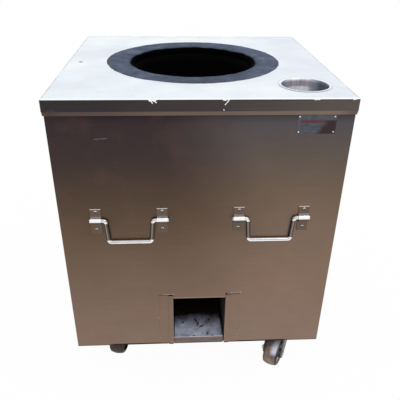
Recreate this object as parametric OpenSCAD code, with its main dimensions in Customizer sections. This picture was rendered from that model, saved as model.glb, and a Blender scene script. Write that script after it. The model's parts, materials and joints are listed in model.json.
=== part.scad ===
// Clay tandoor oven in a square stainless steel cabinet on four swivel casters.
// Origin on the floor under the middle of the cabinet, front face towards -Y, +Z up, millimetres.

/* [Cabinet] */
// Width of the cabinet over its side panels
cabinet_w = 800; // [780:1:860]
// Depth of the cabinet over its front and back panels
cabinet_d = 800; // [780:1:860]
// Height from the bottom edge of the panels to the top of the cover
cabinet_h = 841; // [780:1:920]
// Thickness of the panel sheet
sheet_t = 1.5; // [1:0.1:2]
// Depth of the flanges that return from the front and back panels onto the sides
return_d = 20; // [12:1:30]

/* [Cover] */
// Distance that the cover stands out past the panels all round
cover_overhang = 5; // [4:0.5:8]
// Height of the cover's skirt
skirt_h = 43; // [36:1:60]
// Height of the lower strip of the skirt that slants in to the panel
hem_h = 11; // [6:1:16]
// Diameter of the small vent hole in the cover
vent_d = 5; // [3:0.5:8]
// Distance of the vent hole left of the middle of the cover
vent_left = 365; // [340:1:370]
// Distance of the vent hole in front of the middle of the cover
vent_front = 13; // [0:1:60]

/* [Mouth] */
// Diameter of the open mouth
mouth_d = 382; // [340:1:400]
// Distance of the mouth's axis left of the middle of the cover
mouth_left = 8; // [0:1:12]
// Distance of the mouth's axis behind the middle of the cover
mouth_back = 15; // [0:1:20]
// Width of the plaster collar on the cover, from the mouth outwards
collar_w = 89; // [70:1:92]
// Height that the collar stands above the cover
collar_proud = 3; // [2:0.5:6]
// Width of the round inner edge of the collar
collar_roll_w = 40; // [20:1:50]
// Depth of the round inner edge below the cover
collar_roll_h = 15; // [8:1:18]
// Depth of the whole collar below the cover
collar_depth = 21; // [19:1:30]
// Width of the thin edge of the collar that laps over the cover
collar_lap = 8; // [4:1:14]

/* [Clay pot] */
// Wall of the clay pot
pot_wall = 42; // [30:1:48]
// Inside diameter of the pot at its belly
belly_d = 530; // [500:1:560]
// Inside diameter of the pot at its foot
foot_d = 480; // [440:1:495]
// Height of the straight neck at the top of the pot
neck_h = 25; // [15:1:40]
// Height of the belly above the foot, as a share of the height below the neck
belly_rise = 0.3; // [0.2:0.05:0.5]
// Thickness of the hearth ring at the foot of the pot
hearth_h = 30; // [20:1:40]
// Gap between the insulation and the panels
insulation_gap = 13.5; // [13:0.5:20]

/* [Fire grate] */
// Diameter of the cast iron grate
grate_d = 160; // [140:1:200]
// Thickness of the grate
grate_t = 12; // [8:1:16]
// Width of the ledge on the deck that the grate rests on
grate_ledge = 8; // [5:1:12]
// Number of slots in the grate
grate_slots = 7; // [5:2:9]
// Width of a slot in the grate
slot_w = 8; // [6:1:9]

/* [Ash opening] */
// Width of the opening in the front panel
opening_w = 168; // [164:1:200]
// Height of the opening's top above the bottom edge of the panel
opening_h = 194; // [160:1:240]
// Thickness of the ash duct's walls
duct_t = 3; // [2:0.5:4]
// Gap between the ash tray and the left wall of the duct
tray_gap_left = 1.8; // [0.5:0.1:6]
// Gap between the ash tray and the right wall of the duct
tray_gap_right = 4.2; // [0.5:0.1:8]
// Height of the ash tray's front lip
tray_lip_h = 29; // [22:1:40]
// Thickness of the ash tray's floor and walls
tray_t = 1.2; // [1:0.1:2]

/* [Shutter guides] */
// Height of the guides above the bottom edge of the panel
guide_h = 208; // [196:1:260]
// Height of the guides' lower ends above the bottom edge of the panel
guide_up = 2; // [0:0.5:8]
// Width of the raised lip that holds the shutter
guide_lip_w = 14; // [8:1:20]
// Width of the flange that is welded to the panel
guide_flange_w = 31; // [15:1:34]
// Thickness of the guide sheet
guide_t = 1.5; // [1:0.1:2]
// Gap between the raised lip and the panel
guide_gap = 3; // [2:0.5:5]
// Overlap of the raised lip over the edge of the opening
guide_overlap = 1; // [0.5:0.1:1.2]

/* [Cup] */
// Inside diameter of the cup in the cover
cup_d = 132; // [90:1:140]
// Inside depth of the cup
cup_depth = 85; // [60:1:110]
// Wall of the cup
cup_t = 1.2; // [0.8:0.1:2]
// Width of the flange round the cup
cup_flange_w = 7; // [5:1:10]
// Distance of the cup's axis in from the right panel
cup_in_x = 108; // [105:1:125]
// Distance of the cup's axis in from the front panel
cup_in_y = 125; // [110:1:130]

/* [Name plate] */
// Width of the name plate
plate_w = 103; // [80:1:120]
// Height of the name plate
plate_h = 52; // [40:1:60]
// Thickness of the name plate
plate_t = 1; // [0.6:0.1:2]
// Distance of the name plate's right edge in from the right panel
plate_in = 48; // [40:1:80]
// Diameter of a rivet's head
rivet_d = 5; // [4:0.5:7]
// Distance of the rivets in from the plate's edges
rivet_in = 5; // [4:0.5:9]

/* [Drop handles] */
// Distance of each handle's middle in from the side panel
handle_in = 197; // [180:1:205]
// Height of the handle's pivot above the bottom edge of the panel
pivot_h = 490; // [440:1:540]
// Diameter of the handle's rod
rod_d = 12; // [10:0.5:14]
// Distance between the middles of the two legs at the pivot
leg_span = 134; // [120:1:140]
// Lean of each leg inwards, in degrees
leg_lean = 4.3; // [0:0.1:8]
// Drop from the pivot to the middle of the lower bar
handle_drop = 73; // [60:1:100]
// Bend radius at the middle of the rod
rod_bend = 8; // [7.5:0.5:9]
// Distance between the middles of the two saddles
saddle_span = 187; // [183:1:200]
// Width of a saddle strap
saddle_w = 30; // [24:1:32]
// Thickness of a saddle strap
saddle_t = 3; // [2:0.5:4]
// Length of the saddle strap above the pivot
saddle_up = 36; // [34:1:45]
// Length of the saddle strap below the pivot
saddle_down = 45; // [36:1:55]
// Radius of the ridge's corners
ridge_r = 4; // [2:0.5:5]
// Distance of the upper screw above the pivot
screw_up = 27; // [22:1:28]
// Distance of the lower screw below the pivot
screw_down = 31; // [22:1:31]
// Length that the rod's ends stand out past the saddles
rod_end = 3; // [1:1:8]
// Diameter of the screws' shanks
screw_d = 5; // [4:0.5:6]

/* [Frame] */
// Leg of the corner posts
post_leg = 40; // [36:1:45]
// Leg of the base rails, deck rails and top rails
rail_leg = 30; // [25:1:32]
// Thickness of the posts and rails
angle_t = 3; // [2:0.5:5]
// Thickness of the corner plates above the casters
corner_t = 6; // [5:0.5:8]
// Thickness of the bottom plate
floor_t = 2; // [1:0.5:3]
// Thickness of the deck plate under the pot
deck_t = 5; // [4:0.5:8]

/* [Casters] */
// Height of a caster from the floor to the top of its plate
caster_h = 143; // [138:1:150]
// Diameter of a wheel
wheel_d = 100; // [96:1:102]
// Width of a wheel
wheel_w = 50; // [40:1:54]
// Distance of the wheel's axle behind the kingpin
trail = 42; // [36:1:48]
// Distance of the kingpins in from the side panels
caster_in_x = 110; // [105:1:125]
// Distance of the kingpins in from the front and back panels
caster_in_y = 80; // [76:1:90]
// Length of the caster's top plate from left to right
top_plate_l = 114; // [110:1:116]
// Width of the caster's top plate from front to back
top_plate_w = 102; // [90:1:110]
// Thickness of the caster's top plate
top_plate_t = 6; // [5:0.5:8]
// Distance between the bolts from left to right
bolt_l = 92; // [88:1:96]
// Distance between the bolts from front to back
bolt_w = 66.7; // [62:0.1:67]
// Diameter of the bolts
bolt_d = 10; // [8:1:11]
// Diameter of the axle
axle_d = 12; // [10:1:14]
// Diameter of the kingpin
kingpin_d = 16; // [12:1:18]
// Thickness of the fork's metal
fork_t = 5; // [4:0.5:6]
// Turn of each caster at rest: front left, front right, rear left, rear right
caster_turns = [-13, 150, 164, -151];

/* [Hidden] */
$fn = 96;

// Clearances
fit = 0.3;          // gap between pieces that lie side by side
running = 0.05;     // radial clearance of a turning pin in its hole
rod_clear = 0.1;    // radial clearance of a handle's rod in its saddles
hole_clear = 0.25;  // radial clearance of a screw or bolt in its hole
cut = 1;            // how far a cutting shape runs past the surface that it cuts

// Levels above the floor
cab_z = caster_h;
top_z = cab_z + cabinet_h;
cover_z = top_z - sheet_t;
rail_z = cab_z + corner_t;
floor_z = rail_z + angle_t;
floor_top = floor_z + floor_t;
deck_z = cab_z + opening_h;
deck_top = deck_z + deck_t;
pot_top = top_z - collar_depth;
pot_curve_h = pot_top - neck_h - deck_top;

// Places in plan
half_w = cabinet_w / 2;
half_d = cabinet_d / 2;
in_x = half_w - sheet_t;
in_y = half_d - sheet_t;
mouth_r = mouth_d / 2;
collar_r = mouth_r + collar_w;
collar_hole_r = collar_r - collar_lap;
cup_x = half_w - cup_in_x;
cup_y = cup_in_y - half_d;
cup_out_r = cup_d / 2 + cup_t;
duct_half = opening_w / 2;
duct_out = duct_half + duct_t;
duct_behind = 32;   // from the grate's back edge to the duct's back wall
tray_short = 4;     // from the tray's back to the duct's back wall
duct_back = mouth_back + grate_d / 2 + duct_behind;
tray_back = duct_back - tray_short;
caster_x = half_w - caster_in_x;
caster_y = half_d - caster_in_y;
corner_margin = 7;  // by which a corner plate is larger than the caster's plate
corner_x0 = caster_x - top_plate_l / 2 - corner_margin;
corner_y0 = caster_y - top_plate_w / 2 - corner_margin;

// Small hardware
screw_head_d = 2 * screw_d;
screw_head_h = 0.6 * screw_d;
nut_h = 4;
bolt_head_d = 1.8 * bolt_d;
bolt_head_h = 0.6 * bolt_d;
bolt_nut_h = 0.8 * bolt_d;
rivet_head_h = 1.2;
grate_rim = 10;     // solid rim round the slots of the grate
cup_cove = 5;       // radius between the cup's wall and its bottom

// Handles: the rod's axis lies rod_out from the panel
handle_x = half_w - handle_in;
rod_r = rod_d / 2;
rod_out = rod_r + rod_clear;
bend_lap = 0.5;     // how far a straight leg runs on into the bend at its end
bend_step = 0.05;   // by which a bend is thicker than the leg
ridge_land = 1;     // extra metal above and below the rod's channel
ridge_half = rod_out + saddle_t + ridge_land;
ridge_out = rod_out + saddle_t;

// Casters
wheel_r = wheel_d / 2;
hub_proud = 3.5;    // by which the hub stands out past the rim
hub_half = wheel_w / 2 + hub_proud;
hub_r = 16;
hub_gap = 0.5;      // between the hub's end and the fork's leg
web_in = 9;         // depth of the wheel's hollow side
web_half = wheel_w / 2 - web_in;
rim_t = 12;
rim_slope = 3;      // by which the rim is thicker at the web
tread_round = 5;
tread_flat = 4;     // half the width of the tread's flat middle
crown = 0.8;
bush_t = 4;
axle_end = 3;       // length of the axle past its nut
leg_in = hub_half + hub_gap;
leg_out = leg_in + fork_t;
leg_end_r = 16;
fork_back = 30;
fork_front = 34;
race_h = 10;
race_top_z = caster_h - top_plate_t - race_h;
boss_h = 17;        // from the fork's top to the race
fork_top = race_top_z - boss_h;
boss_r = 30;
race_r = 38;
kingpin_head_h = 4;
kingpin_nut_h = 8;
kingpin_head_d = 1.5 * kingpin_d;
kingpin_room = 6;   // gap round the kingpin in the corner plate
caster_signs = [[-1, -1], [1, -1], [-1, 1], [1, 1]];

// ---------- shared shapes ----------

// Angle iron along +X: one leg on the XZ plane, the other on the XY plane
module angle_bar(length, leg) {
    rotate([90, 0, 90])
        linear_extrude(length)
            union() {
                square([leg, angle_t]);
                square([angle_t, leg]);
            }
}

// Box between two corners
module block(low, high) {
    translate(low)
        cube(high - low);
}

// Block whose lower strip slants inwards, open to any size: used for the cover and its hollow
module skirted_block(half_x, half_y, z_top, z_hem, z_low, slant) {
    intersection() {
        skirt_profile(half_x, half_y + cut, z_top, z_hem, z_low, slant);
        rotate([0, 0, 90])
            skirt_profile(half_y, half_x + cut, z_top, z_hem, z_low, slant);
    }
}

// Prism along Y with the skirt's outline in XZ
module skirt_profile(half, reach, z_top, z_hem, z_low, slant) {
    translate([0, reach, 0])
        rotate([90, 0, 0])
            linear_extrude(2 * reach)
                polygon([
                    [-half, z_top], [-half, z_hem], [-half + slant, z_low],
                    [half - slant, z_low], [half, z_hem], [half, z_top]
                ]);
}

module at_mouth() {
    translate([-mouth_left, mouth_back, 0])
        children();
}

// Children once at each of the four corners, mirrored from the front left one
module at_corners() {
    for (s = caster_signs)
        scale([-s[0], -s[1], 1])
            children();
}

// Inside radius of the pot at a share t of its height below the neck
function pot_r(t) =
    t < belly_rise
        ? foot_d / 2 + (belly_d - foot_d) / 2 * sin(90 * t / belly_rise)
        : mouth_r + (belly_d / 2 - mouth_r) * (1 + cos(180 * (t - belly_rise) / (1 - belly_rise))) / 2;

pot_steps = 24;
pot_inside = concat(
    [for (i = [0:pot_steps]) [pot_r(i / pot_steps), deck_top + pot_curve_h * i / pot_steps]],
    [[mouth_r, pot_top]]
);
pot_outside = [for (p = pot_inside) [p[0] + pot_wall, p[1]]];

function reversed(list) = [for (i = [len(list) - 1:-1:0]) list[i]];

// ---------- cabinet ----------

module top_cover() {
    hem_top = top_z - skirt_h + hem_h;
    out_x = half_w + cover_overhang;
    out_y = half_d + cover_overhang;
    slant = cover_overhang - fit - sheet_t;
    color("lightgray")
        difference() {
            skirted_block(out_x, out_y, top_z, hem_top, top_z - skirt_h, slant);
            skirted_block(out_x - sheet_t, out_y - sheet_t, cover_z, hem_top,
                top_z - skirt_h, slant);
            translate([0, 0, top_z - skirt_h - cut])
                linear_extrude(2 * cut)
                    square([2 * (out_x - sheet_t - slant), 2 * (out_y - sheet_t - slant)], center = true);
            at_mouth()
                translate([0, 0, cover_z - cut])
                    cylinder(h = sheet_t + 2 * cut, r = collar_hole_r);
            translate([cup_x, cup_y, cover_z - cut])
                cylinder(h = sheet_t + 2 * cut, r = cup_out_r + fit);
            translate([-vent_left, -vent_front, cover_z - cut])
                cylinder(h = sheet_t + 2 * cut, d = vent_d);
        }
}

// Front or back sheet with its two side returns, facing -Y
module wrapped_panel() {
    difference() {
        block([-half_w, -half_d, cab_z], [half_w, -half_d + return_d, cover_z]);
        block([-in_x, -in_y, cab_z - cut], [in_x, half_d, cover_z + cut]);
        handle_holes(sheet_t + 2 * cut);
    }
}

// Screw holes of both handles through a sheet at the front panel's place
module handle_holes(depth) {
    at_screws()
        translate([0, -cut, 0])
            rotate([-90, 0, 0])
                cylinder(h = depth, r = screw_d / 2 + hole_clear);
}

module front_panel() {
    color([0.50, 0.43, 0.38])
        difference() {
            wrapped_panel();
            block([-duct_half, -half_d - cut, cab_z - cut], [duct_half, -in_y + cut, deck_z]);
            at_rivets()
                translate([0, -cut, 0])
                    rotate([-90, 0, 0])
                        cylinder(h = sheet_t + 2 * cut, d = rivet_d / 2 + 2 * hole_clear);
        }
}

module back_panel() {
    color([0.50, 0.43, 0.38])
        rotate([0, 0, 180])
            wrapped_panel();
}

module side_panel() {
    block([in_x, -half_d + return_d + fit, cab_z], [half_w, half_d - return_d - fit, cover_z]);
}

module left_side_panel() {
    color([0.55, 0.50, 0.46])
        mirror([1, 0, 0])
            side_panel();
}

module right_side_panel() {
    color([0.55, 0.50, 0.46])
        side_panel();
}

// ---------- frame ----------

module corner_plates() {
    color([0.35, 0.35, 0.36])
        at_corners()
            difference() {
                block([-in_x, -in_y, cab_z], [-corner_x0, -corner_y0, rail_z]);
                translate([-caster_x, -caster_y, 0])
                    bolt_holes(cab_z - cut, corner_t + 2 * cut);
                translate([-caster_x, -caster_y, cab_z - cut])
                    cylinder(h = corner_t + 2 * cut, d = kingpin_d + 2 * kingpin_room);
            }
}

// Floor sheet; between the front rails its edge is bent down to the foot of the cabinet
module bottom_plate() {
    plate_x = in_x - angle_t;
    plate_y = in_y - angle_t;
    color([0.30, 0.30, 0.31])
        difference() {
            union() {
                block([-plate_x, -plate_y, floor_z], [plate_x, plate_y, floor_top]);
                block([-duct_out, -plate_y, cab_z], [duct_out, floor_t - plate_y, floor_top]);
            }
            at_corners()
                block([-half_w, -half_d, floor_z - cut], [-corner_x0, -corner_y0, floor_top + cut]);
        }
}

// Base rail along X at the front, flange inwards, between two places
module base_rail(x0, x1, y) {
    translate([x0, -y, rail_z])
        angle_bar(x1 - x0, rail_leg);
}

module base_rail_front() {
    color([0.28, 0.28, 0.30]) {
        base_rail(-in_x + post_leg, -duct_out - fit, in_y);
        base_rail(duct_out + fit, in_x - post_leg, in_y);
    }
}

module base_rail_back() {
    color([0.28, 0.28, 0.30])
        rotate([0, 0, 180])
            base_rail(-in_x + post_leg, in_x - post_leg, in_y);
}

module base_rail_left() {
    color([0.28, 0.28, 0.30])
        rotate([0, 0, -90])
            base_rail(-in_y + post_leg, in_y - post_leg, in_x);
}

module base_rail_right() {
    color([0.28, 0.28, 0.30])
        rotate([0, 0, 90])
            base_rail(-in_y + post_leg, in_y - post_leg, in_x);
}

module corner_posts() {
    color([0.28, 0.28, 0.30])
        at_corners()
            translate([-in_x, -in_y, rail_z])
                linear_extrude(cover_z - rail_z)
                    union() {
                        square([post_leg, angle_t]);
                        square([angle_t, post_leg]);
                    }
}

// Rail along X with its flange on top, at the front, between the posts
module top_flange_rail(half_length, y, z_top) {
    translate([-half_length, -y, z_top])
        mirror([0, 0, 1])
            angle_bar(2 * half_length, rail_leg);
}

module deck_rails() {
    color([0.28, 0.28, 0.30])
        for (turn = [-90, 90])
            rotate([0, 0, turn])
                top_flange_rail(in_y - post_leg, in_x, deck_z);
}

// Left and right rails run between the posts, front and back rails between those rails
module top_rails() {
    color([0.28, 0.28, 0.30]) {
        for (turn = [-90, 90])
            rotate([0, 0, turn])
                top_flange_rail(in_y - post_leg, in_x, cover_z);
        for (turn = [0, 180])
            rotate([0, 0, turn])
                top_flange_rail(in_x - post_leg, in_y, cover_z);
    }
}

module deck_plate() {
    color([0.30, 0.30, 0.31])
        difference() {
            block([-in_x + fit, -in_y + fit, deck_z], [in_x - fit, in_y - fit, deck_top]);
            at_corners()
                block([-half_w, -half_d, deck_z - cut],
                    [-in_x + post_leg + fit, -in_y + post_leg + fit, deck_top + cut]);
            at_mouth()
                translate([0, 0, deck_z - cut])
                    cylinder(h = deck_t + 2 * cut, r = grate_d / 2 - grate_ledge);
        }
}

// ---------- fire side ----------

module ash_duct() {
    color([0.32, 0.31, 0.33])
        difference() {
            block([-duct_out, -in_y, floor_top], [duct_out, duct_back + duct_t, deck_z]);
            block([-duct_half, -half_d, floor_top - cut], [duct_half, duct_back, deck_z + cut]);
        }
}

module ash_tray() {
    x0 = tray_gap_left - duct_half;
    x1 = duct_half - tray_gap_right;
    lip_z = cab_z + tray_lip_h;
    tray_z = floor_top + fit;
    color([0.45, 0.46, 0.50]) {
        difference() {
            block([x0, -half_d, tray_z], [x1, tray_back, lip_z]);
            block([x0 + tray_t, -in_y, tray_z + tray_t], [x1 - tray_t, tray_back - tray_t, lip_z + cut]);
        }
        block([x0, -half_d, cab_z], [x1, -in_y, tray_z]);
    }
}

module fire_grate() {
    pitch = (grate_d - 2 * grate_rim) / grate_slots;
    color([0.20, 0.19, 0.19])
        at_mouth()
            translate([0, 0, deck_top])
                difference() {
                    cylinder(h = grate_t, d = grate_d);
                    for (i = [0:grate_slots - 1]) {
                        x = (i - (grate_slots - 1) / 2) * pitch;
                        reach = sqrt(pow(grate_d / 2 - grate_rim, 2) - pow(abs(x) + slot_w / 2, 2));
                        translate([x - slot_w / 2, -reach, -cut])
                            cube([slot_w, 2 * reach, grate_t + 2 * cut]);
                    }
                }
}

module hearth_ring() {
    hole_r = grate_d / 2 + fit;
    out_r = foot_d / 2 - fit;
    color([0.52, 0.34, 0.25])
        at_mouth()
            rotate_extrude()
                polygon([
                    [hole_r, deck_top], [out_r, deck_top], [out_r, deck_top + hearth_h],
                    [hole_r + hearth_h, deck_top + hearth_h], [hole_r, deck_top + grate_t]
                ]);
}

module clay_pot() {
    color([0.60, 0.36, 0.25])
        at_mouth()
            rotate_extrude()
                polygon(concat(pot_inside, reversed(pot_outside)));
}

module insulation() {
    block_x = half_w - insulation_gap - sheet_t;
    block_y = half_d - insulation_gap - sheet_t;
    color([0.80, 0.76, 0.64])
        difference() {
            block([-block_x, -block_y, deck_top], [block_x, block_y, pot_top]);
            at_corners()
                block([-half_w, -half_d, deck_top - cut],
                    [-in_x + post_leg + fit, -in_y + post_leg + fit, pot_top + cut]);
            at_mouth()
                rotate_extrude()
                    polygon(concat(
                        [[0, deck_top - cut], [pot_outside[0][0] + fit, deck_top - cut]],
                        [for (p = pot_outside) [p[0] + fit, p[1]]],
                        [[mouth_r + pot_wall + fit, pot_top + cut], [0, pot_top + cut]]
                    ));
            translate([cup_x, cup_y, top_z - cup_depth - cup_t - fit])
                cylinder(h = cup_depth, r = cup_out_r + fit);
        }
}

module mouth_collar() {
    roll_steps = 8;
    edge_steps = 4;
    body_r = collar_hole_r - fit;
    roll = [for (i = [0:roll_steps])
        let (a = 90 * i / roll_steps)
        [mouth_r + collar_roll_w * (1 - cos(a)),
            top_z - collar_roll_h + (collar_roll_h + collar_proud) * sin(a)]];
    edge = [for (i = [0:edge_steps])
        let (a = 90 * i / edge_steps)
        [collar_r - collar_proud * (1 - sin(a)), top_z + collar_proud * cos(a)]];
    color([0.36, 0.40, 0.45])
        at_mouth()
            rotate_extrude()
                polygon(concat([[mouth_r, pot_top]], roll, edge, [[body_r, top_z], [body_r, pot_top]]));
}

// ---------- front fittings ----------

module shutter_guide() {
    lip_x = duct_half - guide_overlap;
    riser_x = lip_x + guide_lip_w;
    color([0.52, 0.46, 0.41])
        translate([0, -half_d, cab_z + guide_up])
            mirror([0, 1, 0])
                linear_extrude(guide_h - guide_up)
                    union() {
                        translate([lip_x, guide_gap])
                            square([guide_lip_w + guide_t, guide_t]);
                        translate([riser_x, 0])
                            square([guide_t, guide_gap + guide_t]);
                        translate([riser_x, 0])
                            square([guide_flange_w, guide_t]);
                    }
}

module shutter_guide_left() {
    mirror([1, 0, 0])
        shutter_guide();
}

module shutter_guide_right() {
    shutter_guide();
}

module cup() {
    r = cup_d / 2;
    low = top_z - cup_depth;
    color([0.82, 0.84, 0.86])
        translate([cup_x, cup_y, 0])
            difference() {
                union() {
                    translate([0, 0, low - cup_t])
                        cylinder(h = cup_depth + cup_t, r = cup_out_r);
                    translate([0, 0, top_z])
                        cylinder(h = cup_t, r = cup_out_r + cup_flange_w);
                }
                translate([0, 0, low + cup_cove])
                    cylinder(h = cup_depth + 2 * cut, r = r);
                translate([0, 0, low])
                    cylinder(h = 2 * cup_cove, r = r - cup_cove);
                translate([0, 0, low + cup_cove])
                    rotate_extrude()
                        translate([r - cup_cove, 0])
                            circle(r = cup_cove);
            }
}

module name_plate() {
    x1 = half_w - plate_in;
    z1 = top_z - skirt_h - cut;
    color([0.78, 0.78, 0.78])
        difference() {
            block([x1 - plate_w, -half_d - plate_t, z1 - plate_h], [x1, -half_d, z1]);
            at_rivets()
                translate([0, -plate_t - cut, 0])
                    rotate([-90, 0, 0])
                        cylinder(h = plate_t + 2 * cut, d = rivet_d / 2 + 2 * hole_clear);
        }
}

// Children at each rivet of the name plate, on the panel's face
module at_rivets() {
    x1 = half_w - plate_in;
    z1 = top_z - skirt_h - cut;
    for (x = [x1 - rivet_in, x1 - plate_w + rivet_in])
        for (z = [z1 - rivet_in, z1 - plate_h + rivet_in])
            translate([x, -half_d, z])
                children();
}

module name_plate_rivets() {
    color([0.85, 0.85, 0.85])
        at_rivets()
            rotate([90, 0, 0])
                union() {
                    translate([0, 0, -sheet_t])
                        cylinder(h = sheet_t + plate_t, d = rivet_d / 2);
                    translate([0, 0, plate_t])
                        cylinder(h = rivet_head_h, d1 = rivet_d, d2 = rivet_d / 2);
                }
}

// ---------- drop handles ----------

// Children with the origin on the pivot axis of one front handle
module at_handle(side) {
    translate([side * handle_x, -half_d - rod_out, cab_z + pivot_h])
        children();
}

// Children on the panel's face at every handle screw of the front panel
module at_screws() {
    for (side = [-1, 1])
        at_handle(side)
            for (end = [-1, 1])
                for (z = [screw_up, -screw_down])
                    translate([end * saddle_span / 2, rod_out, z])
                        children();
}

module saddle() {
    difference() {
        translate([-saddle_w / 2, 0, 0])
            rotate([90, 0, 90])
                linear_extrude(saddle_w)
                    difference() {
                        union() {
                            translate([rod_out - saddle_t, -saddle_down])
                                square([saddle_t, saddle_down + saddle_up]);
                            translate([-ridge_out, ridge_r - ridge_half])
                                square([ridge_out + rod_out, 2 * (ridge_half - ridge_r)]);
                            translate([ridge_r - ridge_out, -ridge_half])
                                square([ridge_out + rod_out - ridge_r, 2 * ridge_half]);
                            for (side = [-1, 1])
                                translate([ridge_r - ridge_out, side * (ridge_half - ridge_r)])
                                    circle(r = ridge_r);
                        }
                        circle(r = rod_out);
                        translate([0, -rod_out])
                            square([rod_out + cut, 2 * rod_out]);
                    }
        for (z = [screw_up, -screw_down])
            translate([0, rod_out + cut, z])
                rotate([90, 0, 0])
                    cylinder(h = saddle_t + 2 * cut, r = screw_d / 2 + hole_clear);
    }
}

module handle_saddles_front() {
    color([0.62, 0.60, 0.59])
        for (side = [-1, 1])
            at_handle(side)
                for (end = [-1, 1])
                    translate([end * saddle_span / 2, 0, 0])
                        saddle();
}

module handle_saddles_rear() {
    mirror([0, 1, 0])
        handle_saddles_front();
}

module handle_screws_front() {
    color([0.75, 0.75, 0.76])
        at_screws()
            rotate([90, 0, 0]) {
                translate([0, 0, -sheet_t - nut_h])
                    cylinder(h = sheet_t + nut_h + saddle_t, d = screw_d);
                translate([0, 0, saddle_t])
                    cylinder(h = screw_head_h, d = screw_head_d);
                translate([0, 0, -sheet_t - nut_h])
                    cylinder(h = nut_h, d = screw_head_d, $fn = 6);
            }
}

module handle_screws_rear() {
    mirror([0, 1, 0])
        handle_screws_front();
}

// Bent rod: straight ends in the saddles, two legs that lean in and the lower bar
module bail() {
    leg_x = leg_span / 2;
    low_x = leg_x - handle_drop * tan(leg_lean);
    turn = 90 - leg_lean;
    bend_reach = rod_bend * tan(turn / 2);
    end_x = saddle_span / 2 + saddle_w / 2 + rod_end;
    for (side = [0, 1])
        mirror([side, 0, 0]) {
            translate([leg_x + bend_reach, 0, 0])
                rotate([0, 90, 0])
                    cylinder(h = end_x - leg_x - bend_reach, r = rod_r);
            translate([leg_x + bend_reach, 0, -rod_bend])
                rod_arc(90, turn);
            translate([leg_x, 0, 0])
                rotate([0, 180 + leg_lean, 0])
                    translate([0, 0, bend_reach - bend_lap])
                        cylinder(h = handle_drop / cos(leg_lean) - 2 * (bend_reach - bend_lap),
                            r = rod_r - bend_step);
            translate([low_x - bend_reach, 0, rod_bend - handle_drop])
                rod_arc(270, turn);
            translate([0, 0, -handle_drop])
                rotate([0, 90, 0])
                    cylinder(h = low_x - bend_reach, r = rod_r);
        }
}

// Bend of the rod in the XZ plane: where it starts, from +X towards +Z, and how far it turns
module rod_arc(start, turn) {
    rotate([90, 0, 0])
        rotate([0, 0, start])
            rotate_extrude(angle = turn)
                translate([rod_bend, 0])
                    circle(r = rod_r);
}

module bail_at(side, rear) {
    color([0.80, 0.80, 0.82])
        mirror([0, rear, 0])
            at_handle(side)
                bail();
}

// ---------- casters ----------

// Children at the kingpin of one caster
module at_caster(i) {
    translate([caster_signs[i][0] * caster_x, caster_signs[i][1] * caster_y, 0])
        children();
}

module bolt_holes(z, depth) {
    for (x = [-bolt_l / 2, bolt_l / 2])
        for (y = [-bolt_w / 2, bolt_w / 2])
            translate([x, y, z])
                cylinder(h = depth, r = bolt_d / 2 + hole_clear);
}

module caster_top_plates() {
    low = caster_h - top_plate_t;
    color([0.55, 0.55, 0.57])
        for (i = [0:3])
            at_caster(i)
                difference() {
                    union() {
                        block([-top_plate_l / 2, -top_plate_w / 2, low],
                            [top_plate_l / 2, top_plate_w / 2, caster_h]);
                        translate([0, 0, race_top_z])
                            cylinder(h = low - race_top_z, r = race_r);
                    }
                    bolt_holes(low - cut, top_plate_t + 2 * cut);
                    translate([0, 0, race_top_z - cut])
                        cylinder(h = caster_h, d = kingpin_d);
                }
}

module caster_kingpins() {
    nut_z = fork_top - fork_t - fit - kingpin_nut_h;
    color([0.50, 0.50, 0.52])
        for (i = [0:3])
            at_caster(i) {
                translate([0, 0, nut_z])
                    cylinder(h = caster_h + kingpin_head_h - nut_z, d = kingpin_d);
                translate([0, 0, caster_h])
                    cylinder(h = kingpin_head_h, d = kingpin_head_d);
                translate([0, 0, nut_z])
                    cylinder(h = kingpin_nut_h, d = kingpin_head_d, $fn = 6);
            }
}

module caster_bolts() {
    low = caster_h - top_plate_t;
    color([0.60, 0.60, 0.62])
        for (i = [0:3])
            at_caster(i)
                for (x = [-bolt_l / 2, bolt_l / 2])
                    for (y = [-bolt_w / 2, bolt_w / 2])
                        translate([x, y, 0]) {
                            translate([0, 0, low - bolt_head_h])
                                cylinder(h = bolt_head_h, d = bolt_head_d, $fn = 6);
                            translate([0, 0, low - bolt_head_h])
                                cylinder(h = bolt_head_h + top_plate_t + corner_t + bolt_nut_h, d = bolt_d);
                            translate([0, 0, rail_z])
                                cylinder(h = bolt_nut_h, d = bolt_head_d, $fn = 6);
                        }
}

// Outline of a fork leg in YZ: straight sides that run tangent to the round end at the axle
module leg_outline() {
    back = tangent_point([-fork_back, fork_top], -1);
    front = tangent_point([fork_front, fork_top], 1);
    union() {
        translate([trail, wheel_r])
            circle(r = leg_end_r);
        polygon([[-fork_back, fork_top], back, [trail, wheel_r], front, [fork_front, fork_top]]);
    }
}

// Point where a line from p touches the round end of the leg
function tangent_point(p, side) =
    let (d = p - [trail, wheel_r], a = atan2(d[1], d[0]), b = acos(leg_end_r / norm(d)))
    [trail, wheel_r] + leg_end_r * [cos(a - side * b), sin(a - side * b)];

module fork() {
    color([0.50, 0.49, 0.49])
        difference() {
            union() {
                for (x = [-leg_out, leg_in])
                    translate([x, 0, 0])
                        rotate([90, 0, 90])
                            linear_extrude(fork_t)
                                leg_outline();
                block([-leg_out, -fork_back, fork_top - fork_t], [leg_out, fork_front, fork_top]);
                translate([0, 0, fork_top])
                    cylinder(h = race_top_z - fit - fork_top, r = boss_r);
            }
            translate([0, 0, fork_top - fork_t - cut])
                cylinder(h = caster_h, r = kingpin_d / 2 + running);
            translate([-leg_out - cut, trail, wheel_r])
                rotate([0, 90, 0])
                    cylinder(h = 2 * (leg_out + cut), r = axle_d / 2 + running);
        }
}

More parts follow.
